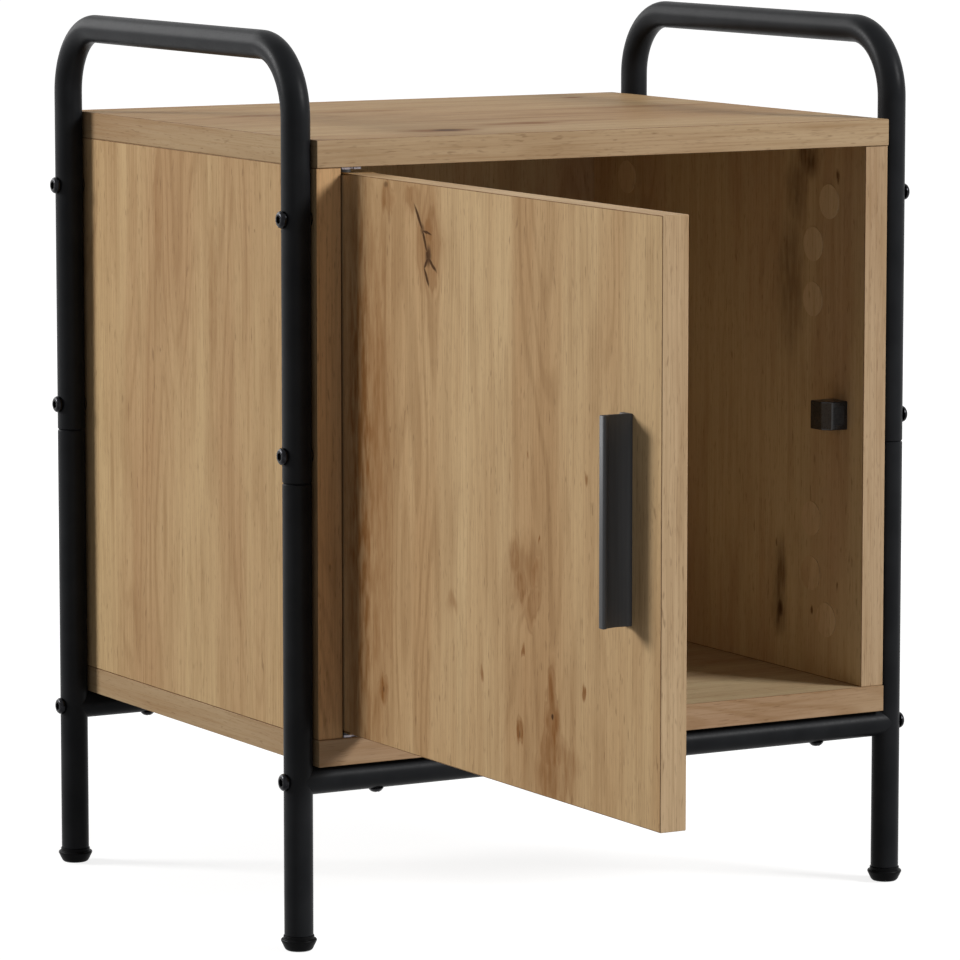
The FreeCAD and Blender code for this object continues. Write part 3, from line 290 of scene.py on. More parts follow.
def rounded_board(low: Array, high: Array, radius: float, normal: Axis, steps: int = 3) -> Shape:
    """Makes a board with rounded edges from six patches that are welded along their borders.

    A point p of the plain box goes to q + radius * (p - q) / |p - q|, where q is p held inside the
    box shrunk by the radius; (p - q) / |p - q| is also the normal. The finish numbers are 0 and 1
    on the broad faces, then one for their rounded rims and one each for the bands whose length
    runs along the board's first and second side.

    Args:
        low: Lowest corner.
        high: Highest corner.
        radius: Radius of the edges.
        normal: Axis across the board.
        steps: Facets in each eighth of a turn.

    Returns:
        The welded board with finish numbers and normals.
    """
    reach = radius * (1 - np.tan(np.linspace(math.pi / 4, 0, steps + 1)))
    lines = [np.concatenate([low[i] + reach, high[i] - reach[::-1]]) for i in range(3)]
    sides = [axis for axis in range(3) if axis != normal.value]
    points, quads, finish = [], [], []
    count = 2 * (steps + 1)
    for across in range(3):
        u, v = (across + 1) % 3, (across + 2) % 3
        for upper in (False, True):
            patch = np.empty((count, count, 3))
            patch[..., across] = high[across] if upper else low[across]
            patch[..., u] = lines[u][:, None]
            patch[..., v] = lines[v][None, :]
            faces = grid_quads(count, count, closed=False) + count * count * len(points)
            number = np.full((count - 1, count - 1), RIM_FINISH)
            if across == normal.value:
                number[steps, steps] = int(upper)
            else:
                number[:] = BAND_FINISH + sides.index(3 - across - normal.value)
            points.append(patch.reshape(-1, 3))
            quads.append(faces[:, ::-1] if upper else faces)
            finish.append(number.ravel())
    plain = np.concatenate(points)
    core = np.clip(plain, low + radius, high - radius)
    normals = plain - core
    normals /= np.linalg.norm(normals, axis=1, keepdims=True)
    rounded = core + radius * normals
    places = np.round(rounded, WELD_DIGITS)
    _, first, weld = np.unique(places, axis=0, return_index=True, return_inverse=True)
    welded = weld.reshape(-1)[np.concatenate(quads)]
    return Shape(
        rounded[first], welded, finish=np.concatenate(finish), normals=normals[first]
    ).outward()


def box_mm(node: str) -> tuple[Array, Array]:
    """Gives a CAD node's lowest and highest corner in millimetres."""
    low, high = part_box(node)
    return np.array(low) / MM, np.array(high) / MM


def middle_mm(node: str) -> Array:
    """Gives the middle of a CAD node's box in millimetres."""
    low, high = box_mm(node)
    return (low + high) / 2


# Finishes

CRACK_REACH = 0.8  # half length of a crack's mark as a share of its stretch, so that marks join
MARK_CORE = 0.25  # share of a mark's half size within which it has its full depth
THROUGH = 10.0  # half size of a mark across the board in metres, so that depth doesn't count
KNOT_RISE = 0.16
RING_LINES = 15


def linear(hex_colour: str) -> tuple[float, float, float, float]:
    """Turns an sRGB hex colour into linear red, green, blue and alpha.

    Args:
        hex_colour: Colour such as "#A08060".

    Returns:
        Linear values from 0 to 1, with alpha 1.
    """
    srgb = np.array([int(hex_colour[i : i + 2], 16) for i in (1, 3, 5)]) / 255
    value = np.where(srgb <= 0.04045, srgb / 12.92, ((srgb + 0.055) / 1.055) ** 2.4)
    return (*value.tolist(), 1.0)


def connect(tree: Tree, node: Node, inputs: dict) -> Node:
    """Links sockets to a node's inputs and sets plain values on them.

    Args:
        tree: Tree of the node.
        node: Node that gets the inputs.
        inputs: Sockets or plain values, by the name or number of the input.

    Returns:
        The node.
    """
    for key, value in inputs.items():
        if isinstance(value, Socket):
            tree.links.new(value, node.inputs[key])
        else:
            node.inputs[key].default_value = value
    return node


def add_node(tree: Tree, kind: str, inputs: dict | None = None, **settings: object) -> Node:
    """Adds a node with its settings, input values and links.

    Args:
        tree: Tree that gets the node.
        kind: Blender's name of the node type, after ShaderNode.
        inputs: Sockets to link or plain values to set, by the name or number of the input.
        **settings: Properties of the node.

    Returns:
        The new node.
    """
    made = tree.nodes.new("ShaderNode" + kind)
    for name, value in settings.items():
        setattr(made, name, value)
    return connect(tree, made, inputs or {})


def seen(tree: Tree) -> Socket:
    """Adds a value that is 1 for rays of the camera, of reflections and through glass.

    Args:
        tree: Tree that gets the nodes.

    Returns:
        The value.
    """
    path = add_node(tree, "LightPath").outputs
    pair = {0: path["Is Camera Ray"], 1: path["Is Glossy Ray"]}
    first = add_node(tree, "Math", pair, operation="MAXIMUM").outputs[0]
    pair = {0: first, 1: path["Is Transmission Ray"]}
    return add_node(tree, "Math", pair, operation="MAXIMUM").outputs[0]


class Finish(ABC):
    """A surface finish whose node material is built once and then shared."""

    name: str

    def material(self) -> bpy.types.Material:
        """Gives the finish's material, building it at the first call.

        Returns:
            The material.
        """
        found = bpy.data.materials.get(self.name)
        if found is None:
            found = bpy.data.materials.new(self.name)
            found.use_nodes = True
            self.build(found.node_tree, found.node_tree.nodes["Principled BSDF"])
        return found

    @abstractmethod
    def build(self, tree: Tree, shader: Node) -> None:
        """Adds the finish's nodes to the tree and links them to its shader."""


@dataclass(frozen=True)
class Mark:
    """An oval patch of the oak print, in the board's plane.

    Attributes:
        tone: Stain and painted shade, or crack.
        across: Place across the grain, in millimetres of the part's frame.
        along: Place along the grain, in millimetres of the part's frame.
        half_width: Half size across, in millimetres.
        half_length: Half size along, in millimetres.
        depth: Strength from 0 to 1.
        lean: Turn in degrees from along the grain towards across.
    """

    tone: Tone
    across: float
    along: float
    half_width: float
    half_length: float
    depth: float
    lean: float = 0.0


def marks(tone: Tone, *rows: tuple[float, ...]) -> tuple[Mark, ...]:
    """Gives a mark for each row, which has the numbers of Mark from across on."""
    return tuple(Mark(tone, *row) for row in rows)


def crack_line(half_width: float, *places: tuple[float, float]) -> tuple[Mark, ...]:
    """Lays one slim crack mark between each two neighbouring places.

    Args:
        half_width: Half width of the crack in millimetres.
        *places: Places across and along the grain, in millimetres.

    Returns:
        The marks, each a little longer than its stretch so that they join.
    """
    found = []
    for start, end in zip(places, places[1:]):
        across, along = (np.array(start) + np.array(end)) / 2
        reach = CRACK_REACH * math.dist(start, end)
        lean = math.degrees(math.atan2(end[0] - start[0], end[1] - start[1]))
        found.append(Mark(Tone.CRACK, across, along, half_width, reach, 1.0, lean))
    return tuple(found)


@dataclass(frozen=True)
class OakPrint(Finish):
    """Oak-print melamine on chipboard: printed paper pressed under resin with a fine pore texture.

    The eye sees tan and rosy bands that run with the grain, thin darker lines and short pores in
    them, cathedral lines that bend round the knots, and a dull sheen that breaks in the pores.

    Attributes:
        name: Name of the material.
        grain: Direction of the grain.
        normal: Axis across the board.
        salt: Shift between boards, so that no two show the same stretch of the print.
        marks: Knots, stains, painted shade and cracks at their places.
        tan: Colour of the light wood.
        rose: Colour of the rosier bands.
        brown: Colour of the streaks and ring lines.
        pore: Colour of the pores.
        stain_and_shade: Colour of the stains round knots and of the painted shade beside the door's
            hinges.
        crack: Colour of cracks and knot hearts.
        roughness: Middle roughness of the resin.
        specular: Specular level of the dull resin.
    """

    name: str
    grain: Axis
    normal: Axis
    salt: float
    marks: tuple[Mark, ...] = ()
    tan: str = "#C0A379"
    rose: str = "#B18F68"
    brown: str = "#8C6A45"
    pore: str = "#684B30"
    stain_and_shade: str = "#764616"
    crack: str = "#3A2009"
    roughness: float = 0.5
    specular: float = 0.03

    def stretched(self, across: float, along: float, normal: float | None = None) -> Point:
        """Gives a vector with one value along the grain and another across it.

        Args:
            across: Value on the two axes across the grain.
            along: Value on the grain's axis.
            normal: Value on the board's normal, where it differs.

        Returns:
            The values on X, Y and Z.
        """
        values = [across] * 3
        values[self.normal.value] = across if normal is None else normal
        values[self.grain.value] = along
        return tuple(values)

    def layer(
        self, tree: Tree, place: Socket, across: float, along: float, detail: float = 2.0
    ) -> Node:
        """Adds noise whose patches have a given size in millimetres across and along the grain.

        Args:
            tree: Tree that gets the nodes.
            place: Place in metres.
            across: Size across the grain.
            along: Size along the grain.
            detail: Octaves of finer noise.

        Returns:
            The noise node.
        """
        shift = (self.salt + across,) * 3
        scale = self.stretched(1 / MM / across, 1 / MM / along)
        spread = add_node(tree, "Mapping", {"Vector": place, "Location": shift, "Scale": scale})
        inputs = {"Vector": spread.outputs[0], "Scale": 1.0, "Detail": detail}
        return add_node(tree, "TexNoise", inputs)

    def marked(self, tree: Tree, place: Socket, tone: Tone) -> Socket | None:
        """Joins the marks of one tone; each fades smoothly from its depth to nothing at its rim.

        Args:
            tree: Tree that gets the nodes.
            place: Place in metres.
            tone: Tone of the marks.

        Returns:
            The greatest depth at each place, or nothing where there is no such mark.
        """
        total = None
        cross_axis = 3 - self.grain.value - self.normal.value
        sense = 1 if (cross_axis - self.grain.value) % 3 == 1 else -1
        for mark in (mark for mark in self.marks if mark.tone is tone):
            spot, turn = [0.0] * 3, [0.0] * 3
            spot[cross_axis] = mark.across * MM
            spot[self.grain.value] = mark.along * MM
            turn[self.normal.value] = math.radians(sense * mark.lean)
            size = self.stretched(mark.half_width * MM, mark.half_length * MM, THROUGH)
            inputs = {"Vector": place, "Location": spot, "Rotation": turn, "Scale": size}
            oval = add_node(tree, "Mapping", inputs, vector_type="TEXTURE").outputs[0]
            away = add_node(tree, "VectorMath", {0: oval}, operation="LENGTH").outputs["Value"]
            fall = {"Value": away, "From Min": 1.0, "From Max": MARK_CORE, "To Max": mark.depth}
            fade = add_node(tree, "MapRange", fall, interpolation_type="SMOOTHSTEP").outputs[0]
            if total is not None:
                fade = add_node(tree, "Math", {0: total, 1: fade}, operation="MAXIMUM").outputs[0]
            total = fade
        return total

    def shifted(self, tree: Tree, place: Socket, noise: Node, reach: Point) -> Socket:
        """Moves places by noise: the place plus reach times the noise's colour less one half.

        Args:
            tree: Tree that gets the nodes.
            place: Place in metres.
            noise: Noise node.
            reach: Full swing on X, Y and Z in metres.

        Returns:
            The moved place.
        """
        inputs = {0: noise.outputs["Color"], 1: (0.5, 0.5, 0.5)}
        swing = add_node(tree, "VectorMath", inputs, operation="SUBTRACT").outputs[0]
        inputs = {0: swing, 1: reach, 2: place}
        return add_node(tree, "VectorMath", inputs, operation="MULTIPLY_ADD").outputs[0]

    def build(self, tree: Tree, shader: Node) -> None:
        """Lays bands, streaks, ring lines, fine lines, pores, stains, painted shade and cracks over
        each other.

        Args:
            tree: Tree that gets the nodes.
            shader: Shader that they are linked to.
        """
        place = add_node(tree, "TexCoord").outputs["Object"]
        # the grain wanders by 5 mm, stains and painted shade feather out along it and cracks stray
        # by 1.6 mm
        wander = self.layer(tree, place, across=44, along=200)
        bent = self.shifted(tree, place, wander, self.stretched(5 * MM, 0))
        feather = self.layer(tree, place, across=6, along=22, detail=4)
        feathered = self.shifted(tree, place, feather, self.stretched(10 * MM, 18 * MM))
        fray = self.layer(tree, place, across=4, along=7, detail=3)
        frayed = self.shifted(tree, place, fray, (1.6 * MM,) * 3)
        stains_and_shade = self.marked(tree, feathered, Tone.STAIN)
        cracks = self.marked(tree, frayed, Tone.CRACK)

        # cathedral lines: level lines of a long smooth noise, which also rises at the stains and
        # the painted shade
        hill = self.layer(tree, bent, across=46, along=300, detail=1).outputs["Fac"]
        if stains_and_shade is not None:
            rise = {0: stains_and_shade, 1: KNOT_RISE, 2: hill}
            hill = add_node(tree, "Math", rise, operation="MULTIPLY_ADD").outputs[0]
        wave = {0: hill, 1: RING_LINES * 2 * math.pi}
        turns = add_node(tree, "Math", wave, operation="MULTIPLY").outputs[0]
        rings = add_node(tree, "Math", {0: turns}, operation="SINE").outputs[0]

        bands = self.layer(tree, bent, across=44, along=420).outputs["Fac"]
        zone = {"Value": bands, "From Min": 0.44, "From Max": 0.62}
        figured = add_node(tree, "MapRange", zone).outputs[0]
        flames = add_node(tree, "Math", {0: rings, 1: figured}, operation="MULTIPLY").outputs[0]
        glows = self.layer(tree, bent, across=70, along=240).outputs["Fac"]
        streaks = self.layer(tree, bent, across=7, along=220, detail=3).outputs["Fac"]
        lines = self.layer(tree, bent, across=0.9, along=70).outputs["Fac"]
        pores = self.layer(tree, bent, across=0.75, along=8, detail=1).outputs["Fac"]
        patches = self.layer(tree, bent, across=11, along=90, detail=4).outputs["Fac"]
        flecks = self.layer(tree, bent, across=2.0, along=10, detail=1).outputs["Fac"]
        if stains_and_shade is not None:
            hairs = self.layer(tree, place, across=3.4, along=17, detail=4).outputs["Fac"]
            zone = {"Value": hairs, "From Min": 0.36, "From Max": 0.64}
            brush = add_node(tree, "MapRange", {**zone, "To Min": 0.62, "To Max": 1.14}).outputs[0]
            stains_and_shade = add_node(tree, "Math", {0: stains_and_shade, 1: brush}, operation="MULTIPLY").outputs[0]

        colour = linear(self.tan)
        # source, the values between which it comes in, its greatest share and its colour
        tones = (
            (bands, 0.38, 0.64, 1.0, self.rose),
            (glows, 0.52, 0.72, 0.5, self.tan),
            (patches, 0.50, 0.74, 0.36, self.brown),
            (streaks, 0.46, 0.76, 0.30, self.brown),
            (flames, 0.10, 0.90, 0.34, self.brown),
            (lines, 0.46, 0.74, 0.38, self.brown),
            (pores, 0.60, 0.76, 0.34, self.pore),
            (flecks, 0.68, 0.78, 0.40, self.pore),
            (stains_and_shade, 0.0, 0.8, 0.86, self.stain_and_shade),
            (cracks, 0.05, 0.7, 0.92, self.crack),
        )
        for source, low, high, most, shade in tones:
            if source is not None:
                zone = {"Value": source, "From Min": low, "From Max": high, "To Max": most}
                share = add_node(tree, "MapRange", zone).outputs[0]
                pair = {0: share, 6: colour, 7: linear(shade)}
                colour = add_node(tree, "Mix", pair, data_type="RGBA").outputs[2]

        # pressed pores are a few hundredths of a millimetre deep and duller than the resin
        ends = {"To Min": self.roughness - 0.05, "To Max": self.roughness + 0.06}
        zone = {"Value": lines, "From Min": 0.3, "From Max": 0.7, **ends}
        dull = add_node(tree, "MapRange", zone).outputs[0]
        height = {"Strength": 0.35, "Distance": 0.03 * MM, "Height": pores}
        relief = add_node(tree, "Bump", height, invert=True).outputs[0]
        inputs = {"Base Color": colour, "Roughness": dull, "Normal": relief}
        connect(tree, shader, {**inputs, "Specular IOR Level": self.specular})


@dataclass(frozen=True)
class SpeckledFinish(Finish):
    """A moulded, plated, coated or pressed surface with two close colours and a fine relief.

    The eye sees a plain colour that is never quite even, and a highlight that the relief breaks.

    Attributes:
        name: Name of the material.
        dark: Darker colour.
        light: Lighter colour.
        cloud: Size of the colour patches in millimetres.
        grit: Size of the relief in millimetres.
        depth: Depth of the relief in millimetres.
        roughness: Middle roughness.
        spread: How far the roughness swings about its middle.
        metallic: Share of bare metal.
        specular: Specular level.
        draw: Stretch of the patches and the relief along Z, as on extruded or drawn metal.
    """

    name: str
    dark: str
    light: str
    cloud: float
    grit: float
    depth: float
    roughness: float
    spread: float = 0.04
    metallic: float = 0.0
    specular: float = 0.5
    draw: float = 1.0

    def build(self, tree: Tree, shader: Node) -> None:
        """Mixes the two colours by broad noise and raises the relief by fine noise.

        Args:
            tree: Tree that gets the nodes.
            shader: Shader that they are linked to.
        """
        place = add_node(tree, "TexCoord").outputs["Object"]
        noises = []
        for size in (self.cloud, self.grit):
            scale = 1 / MM / size
            inputs = {"Vector": place, "Scale": (scale, scale, scale / self.draw)}
            spread = add_node(tree, "Mapping", inputs).outputs[0]
            noise = add_node(tree, "TexNoise", {"Vector": spread, "Scale": 1.0})
            noises.append(noise.outputs["Fac"])
        cloud, grit = noises
        zone = {"Value": cloud, "From Min": 0.35, "From Max": 0.65}
        share = add_node(tree, "MapRange", zone).outputs[0]
        pair = {0: share, 6: linear(self.dark), 7: linear(self.light)}
        ends = {"To Min": self.roughness - self.spread, "To Max": self.roughness + self.spread}
        zone = {"Value": grit, "From Min": 0.3, "From Max": 0.7, **ends}
        height = {"Strength": 0.5, "Distance": self.depth * MM, "Height": grit}
        connect(tree, shader, {
            "Base Color": add_node(tree, "Mix", pair, data_type="RGBA").outputs[2],
            "Roughness": add_node(tree, "MapRange", zone).outputs[0],
            "Normal": add_node(tree, "Bump", height).outputs[0],
            "Metallic": self.metallic,
            "Specular IOR Level": self.specular,
        })


@dataclass(frozen=True)
class StudioPaper(Finish):
    """Matte studio paper: lit up to white further off, with a soft shadow near the feet.

    Attributes:
        name: Name of the material.
        colour: Colour of the paper.
        roughness: Roughness of the paper.
        near: Distance from the origin in metres up to which the glow is low.
        far: Distance from which the paper is white.
        low_glow: Glow up to the near distance, where 1 is white.
    """

    name: str = "pale_paper_floor"
    colour: str = "#A0A0A0"
    roughness: float = 0.9
    near: float = 0.5
    far: float = 1.6
    low_glow: float = 0.84

    def build(self, tree: Tree, shader: Node) -> None:
        """Adds the glow, which rays of the camera, of reflections and through glass see.

        Args:
            tree: Tree that gets the nodes.
            shader: Shader that they are linked to.
        """
        place = add_node(tree, "TexCoord").outputs["Object"]
        away = add_node(tree, "VectorMath", {0: place}, operation="LENGTH").outputs["Value"]
        zone = {"Value": away, "From Min": self.near, "From Max": self.far, "To Min": self.low_glow}
        lit = add_node(tree, "MapRange", zone, interpolation_type="SMOOTHSTEP").outputs[0]
        glow = add_node(tree, "Math", {0: seen(tree), 1: lit}, operation="MULTIPLY").outputs[0]
        connect(tree, shader, {
            "Base Color": linear(self.colour),
            "Roughness": self.roughness,
            "Specular IOR Level": 0.0,
            "Emission Color": WHITE,
            "Emission Strength": glow,
        })


DOOR_MARKS = (
    # the cracked knot near the upper left corner
    *crack_line(1.7, (-231.6, 412.1), (-239.7, 400.4), (-244.3, 389.3), (-245.7, 385.8)),
    *crack_line(1.5, (-245.7, 385.8), (-241.6, 380.2), (-246.1, 371.4)),
    *crack_line(1.5, (-245.7, 385.8), (-254.1, 379.9)),
    *crack_line(1.0, (-240.0, 400.0), (-248.5, 398.5)),
    *marks(
        Tone.CRACK,
        (-246, 387, 4.6, 8, 0.66), (-239.8, 400.6, 3.2, 4.2, 0.52), (-200.1, 421.5, 3.6, 2.4, 0.42),
        # hearts of the knots further down
        (-196.3, 149.8, 1.6, 2.6, 0.4), (-374.9, 161.9, 1.6, 2.2, 0.85),
        (-341.9, 148, 1.2, 3, 0.35),
    ),
    *marks(
        Tone.STAIN,
        (-248, 393, 22, 32, 0.46), (-247, 400, 12, 13, 0.54), (-250, 377, 9, 12, 0.5),
        (-200, 415, 12, 13, 0.62), (-228, 416, 12, 12, 0.36),
        # the browner run beside the hinges: partly a brown run in the print, partly painted shadow
        # that widens the soft edge of the front-left upright's shadow
        (-193, 372, 14, 40, 0.34), (-190, 330, 14, 60, 0.46), (-184, 250, 12, 90, 0.4),
        (-171, 262, 26, 290, 0.72), (-176, 262, 42, 290, 0.5), (-196, 150, 9, 12, 0.8),
        # the brown smear left of the handle
        (-346, 230, 25, 30, 0.34, -22), (-337, 239, 10, 17, 0.62), (-342, 226, 10, 19, 0.56, 14),
        (-357, 233, 7, 16, 0.5, -30), (-355, 217, 10, 18, 0.52, -20), (-271.5, 206.6, 9, 8, 0.4),
        # the plume low on the door
        (-374, 172, 7, 28, 0.7), (-375, 158, 13, 20, 0.72), (-376, 144, 22, 20, 0.62),
        (-377, 130, 34, 22, 0.5), (-394, 140, 16, 14, 0.4), (-341.9, 149, 5, 11, 0.95),
        (-365, 150, 90, 70, 0.12),
        # loose specks
        (-361.4, 251.8, 1.8, 2.8, 0.95), (-350.4, 292.8, 1.8, 3.6, 0.7), (-407.7, 289.1, 3, 5, 0.8),
        (-302.3, 174.9, 2, 6, 0.7), (-345.3, 192.5, 1.8, 5, 0.9), (-406.3, 181, 2, 6, 0.9),
    ),
)
LEFT_MARKS = (
    *marks(Tone.STAIN, (-28, 352, 8, 75, 0.28), (40.8, 392, 7, 50, 0.28)),
    *marks(Tone.CRACK, (-79, 388.7, 1.3, 1.6, 0.3), (38.2, 312.4, 1.3, 2.2, 0.3)),
)
RIGHT_MARKS = (
    *marks(
        Tone.STAIN,
        (-91, 418, 16, 18, 0.7), (-80, 398, 16, 30, 0.5), (-74, 345, 18, 56, 0.44),
        (-65, 168, 10, 38, 0.6), (-65, 150, 11, 22, 0.7), (-121.5, 410.8, 2.4, 5, 0.9),
        (-60.1, 189, 1.8, 4, 0.8), (-99.5, 152, 1.6, 3.4, 0.9), (-124.6, 171, 1.8, 3.6, 0.9),
    ),
    *marks(Tone.CRACK, (-65.4, 151, 4.6, 7, 0.6)),
)
TOP_MARKS = (
    # the dark knot near the front edge and the long streak behind it
    *marks(
        Tone.STAIN,
        (-112, -86, 18, 36, 0.85), (-82, -16, 13, 40, 0.8), (-76, 20, 9, 40, 0.45),
        (116, 134, 9, 12, 0.85), (50, -118, 14, 34, 0.6), (58, -40, 10, 50, 0.42),
        (-20, 60, 12, 90, 0.3), (20, 120, 12, 80, 0.34), (-40, -10, 8, 120, 0.25),
    ),
    *marks(Tone.CRACK, (-112, -81, 11, 14, 0.7)),
)

# The tones of the faces inside the cabinet, of the top, of the door and of the bands are matched
# to the photograph one by one
# The inside tones are lighter and greyer than the outside: painted light, standing in for bounce
# light inside the cabinet.
INSIDE_TONES_PAINTED_LIGHT = {"tan": "#C2AE8A", "rose": "#B59979", "brown": "#9A7C5B", "stain_and_shade": "#583B1A"}
# The top's tones are darker: painted shade, against the light that falls on the top from above.
TOP_TONES_PAINTED_SHADE = {"tan": "#B59973", "rose": "#AA8A65"}
DOOR_TONES = {"tan": "#C8AA80", "rose": "#B6936A"}
FILM_TONES = {"tan": "#CFBB9A", "rose": "#C4AC8A", "brown": "#A98D6A"}
OAK_TOP = OakPrint("oak_melamine_top", Axis.X, Axis.Z, 3.1, TOP_MARKS, **TOP_TONES_PAINTED_SHADE, specular=0.02)
OAK_BOTTOM = OakPrint("oak_melamine_bottom", Axis.X, Axis.Z, 17.3)
OAK_SHELF = OakPrint("oak_melamine_inner_shelf", Axis.X, Axis.Z, 23.5, **INSIDE_TONES_PAINTED_LIGHT)
OAK_LINING = OakPrint("oak_melamine_inner_left", Axis.Z, Axis.X, 35.3, **INSIDE_TONES_PAINTED_LIGHT)
OAK_LEFT = OakPrint("oak_melamine_left", Axis.Z, Axis.X, 29.7, LEFT_MARKS)
OAK_RIGHT = OakPrint("oak_melamine_right", Axis.Z, Axis.X, 47.7)
OAK_CATCH_SIDE = OakPrint(
    "oak_melamine_inner_right", Axis.Z, Axis.X, 41.9, RIGHT_MARKS, **INSIDE_TONES_PAINTED_LIGHT
)
OAK_DOOR = OakPrint("oak_melamine_door", Axis.Z, Axis.X, 58.3, DOOR_MARKS, **DOOR_TONES)
OAK_DOOR_INNER = OakPrint("oak_melamine_door_inner", Axis.Z, Axis.X, 65.9)
OAK_BACK = OakPrint("oak_paper_back", Axis.Z, Axis.Y, 71.1, **INSIDE_TONES_PAINTED_LIGHT)
OAK_FILM = OakPrint("oak_film_discs", Axis.Z, Axis.X, 83.9, **FILM_TONES)
# Edge bands by the run of their grain: thin printed strips, whose tones differ from set to set as
# painted light and shade, for how light falls on the edges that each set covers
OAK_BANDS = {
    Axis.X: OakPrint("oak_edge_band_x", Axis.X, Axis.Y, 90.0, tan="#B99F7E", rose="#AC8C6F"),
    Axis.Y: OakPrint("oak_edge_band_y", Axis.Y, Axis.X, 91.0, tan="#A9906F", rose="#9C8061"),
    Axis.Z: OakPrint("oak_edge_band_z", Axis.Z, Axis.Y, 92.0, tan="#BEA382", rose="#B29475"),
}
# The left side panel's front band is ruddier, as the photograph shows it beside the open door
# The ruddier tone is painted bounce light: the warm light that the open door throws onto this band.
BOUNCE_LIT_SIDE_BANDS = {
    Axis.Y: OAK_BANDS[Axis.Y],
    Axis.Z: OakPrint("oak_side_band_z_painted_bounce", Axis.Z, Axis.Y, 95.0, tan="#D2AA7C", rose="#C69B6F"),
}
# The door's bands are lighter than the cabinet's: painted light, for how light falls on the door's
# edges.
DOOR_BANDS = {
    Axis.Y: OakPrint("oak_door_band_y", Axis.Y, Axis.X, 93.0, tan="#C6AA82", rose="#B89874"),
    Axis.Z: OakPrint("oak_door_band_z", Axis.Z, Axis.Y, 94.0, tan="#CDB08B", rose="#C0A07D"),
}
# Hot-melt glue that shows as a thin brown line where a band meets the printed face
GLUE_LINE = SpeckledFinish(
    "glue_line", "#6E5137", "#866748",
    cloud=4, grit=1, depth=0.01, roughness=0.6, specular=0.03,
)
# Hardboard: pressed brown fibres, left raw on the rear
HARDBOARD = SpeckledFinish(
    "raw_hardboard", "#7A5B3D", "#8E6E4D",
    cloud=2.5, grit=0.9, depth=0.05, roughness=0.8, specular=0.2,
)
# Satin powder coat on steel tube: black, with the slight orange peel of melted powder
POWDER_COAT = SpeckledFinish(
    "satin_powder_coat", "#191A1C", "#202123",
    cloud=22, grit=1.6, depth=0.012, roughness=0.38, specular=0.05,
)
# Black anodised aluminium: extruded, so its dull sheen is drawn out along its length
ANODISED = SpeckledFinish(
    "black_anodised_aluminium", "#313234", "#393A3C",
    cloud=1.4, grit=0.7, depth=0.006, roughness=0.6, draw=40,
)
# Moulded black polypropylene: dull, with a fine eroded texture
PLASTIC = SpeckledFinish(
    "moulded_black_plastic", "#0B0B0C", "#111112",
    cloud=6, grit=0.5, depth=0.012, roughness=0.4, specular=0.04,
)
# Moulded acetal of the catch: dark grey and a little glossy
ACETAL = SpeckledFinish(
    "moulded_black_acetal", "#1C1C1E", "#242426", cloud=5, grit=0.6, depth=0.006, roughness=0.3
)
# Black zinc plating: dark grey metal, still bright
BLACK_ZINC = SpeckledFinish(
    "black_zinc_plate", "#18181A", "#242426",
    cloud=3, grit=0.8, depth=0.004, roughness=0.26, metallic=1.0,
)
# Clear passivated zinc plating: grey, faintly violet and clouded
CLEAR_ZINC = SpeckledFinish(
    "clear_zinc_plate", "#7C777B", "#948D91",
    cloud=4, grit=0.9, depth=0.005, roughness=0.38, metallic=1.0,
)
# Yellow passivated zinc plating: a brown-gold tint over the same grey metal
YELLOW_ZINC = SpeckledFinish(
    "yellow_zinc_plate", "#7D6443", "#977C55",
    cloud=3, grit=0.9, depth=0.005, roughness=0.46, metallic=1.0,
)
# Moulded black nylon: dull, with a waxy glow
NYLON = SpeckledFinish(
    "moulded_nylon", "#2C2B2C", "#363536",
    cloud=3, grit=0.6, depth=0.006, roughness=0.45, specular=0.3,
)
# Pressed ferrite: dark grey, ground on its faces
FERRITE = SpeckledFinish(
    "ground_ferrite", "#2C2C2E", "#3A3A3B",
    cloud=2, grit=0.5, depth=0.01, roughness=0.5, specular=0.2,
)
# Turned beech: pale, with short flecks along the dowel
BEECH = SpeckledFinish(
    "turned_beech", "#B8946A", "#CBA97E",
    cloud=1.2, grit=0.6, depth=0.02, roughness=0.6, specular=0.2, draw=6,
)


# Pieces


def make_piece(
    name: str,
    shape: Shape,
    finishes: list[Finish],
    body: str,
    stands_for: str,
    crease: float = 35.0,
) -> None:
    """Turns a shape into a piece that rides on a body and stands for a CAD node.

    Args:
        name: Name of the piece.
        shape: Skin in millimetres.
        finishes: Finishes by the shape's finish numbers.
        body: Body that the piece rides on.
        stands_for: CAD node that it replaces.
        crease: Angle in degrees above which an edge stays sharp, where the shape has no normals.
    """
    mesh = bpy.data.meshes.new(name)
    faces = [*shape.quads.tolist(), *[cap.tolist() for cap in shape.caps]]
    mesh.from_pydata(shape.points * MM, [], faces)
    for finish in finishes:
        mesh.materials.append(finish.material())
    if shape.finish is not None:
        mesh.polygons.foreach_set("material_index", shape.finish.astype(np.int32))
    mesh.polygons.foreach_set("use_smooth", np.ones(len(mesh.polygons), bool))
    if shape.normals is not None:
        mesh.normals_split_custom_set_from_vertices(shape.normals.tolist())
    else:
        mesh.set_sharp_from_angle(angle=math.radians(crease))
    mesh.validate()
    mesh.update()
    piece = bpy.data.objects.new(name, mesh)
    bpy.context.scene.collection.objects.link(piece)
    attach(piece, body)
    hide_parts(stands_for)
    LOG.info("%s: %d faces on %s", name, len(mesh.polygons), body)


def dress_nodes(finish: Finish, *nodes: str) -> None:
    """Gives CAD nodes a finish and reports them.

    Args:
        finish: Finish for their slots.
        *nodes: Names of the nodes.
    """
    for node in nodes:
        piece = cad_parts[node]
        if not piece.material_slots:
            piece.data.materials.append(None)
        for place in piece.material_slots:
            place.material = finish.material()
        LOG.info("%s: CAD node in %s", node, finish.name)


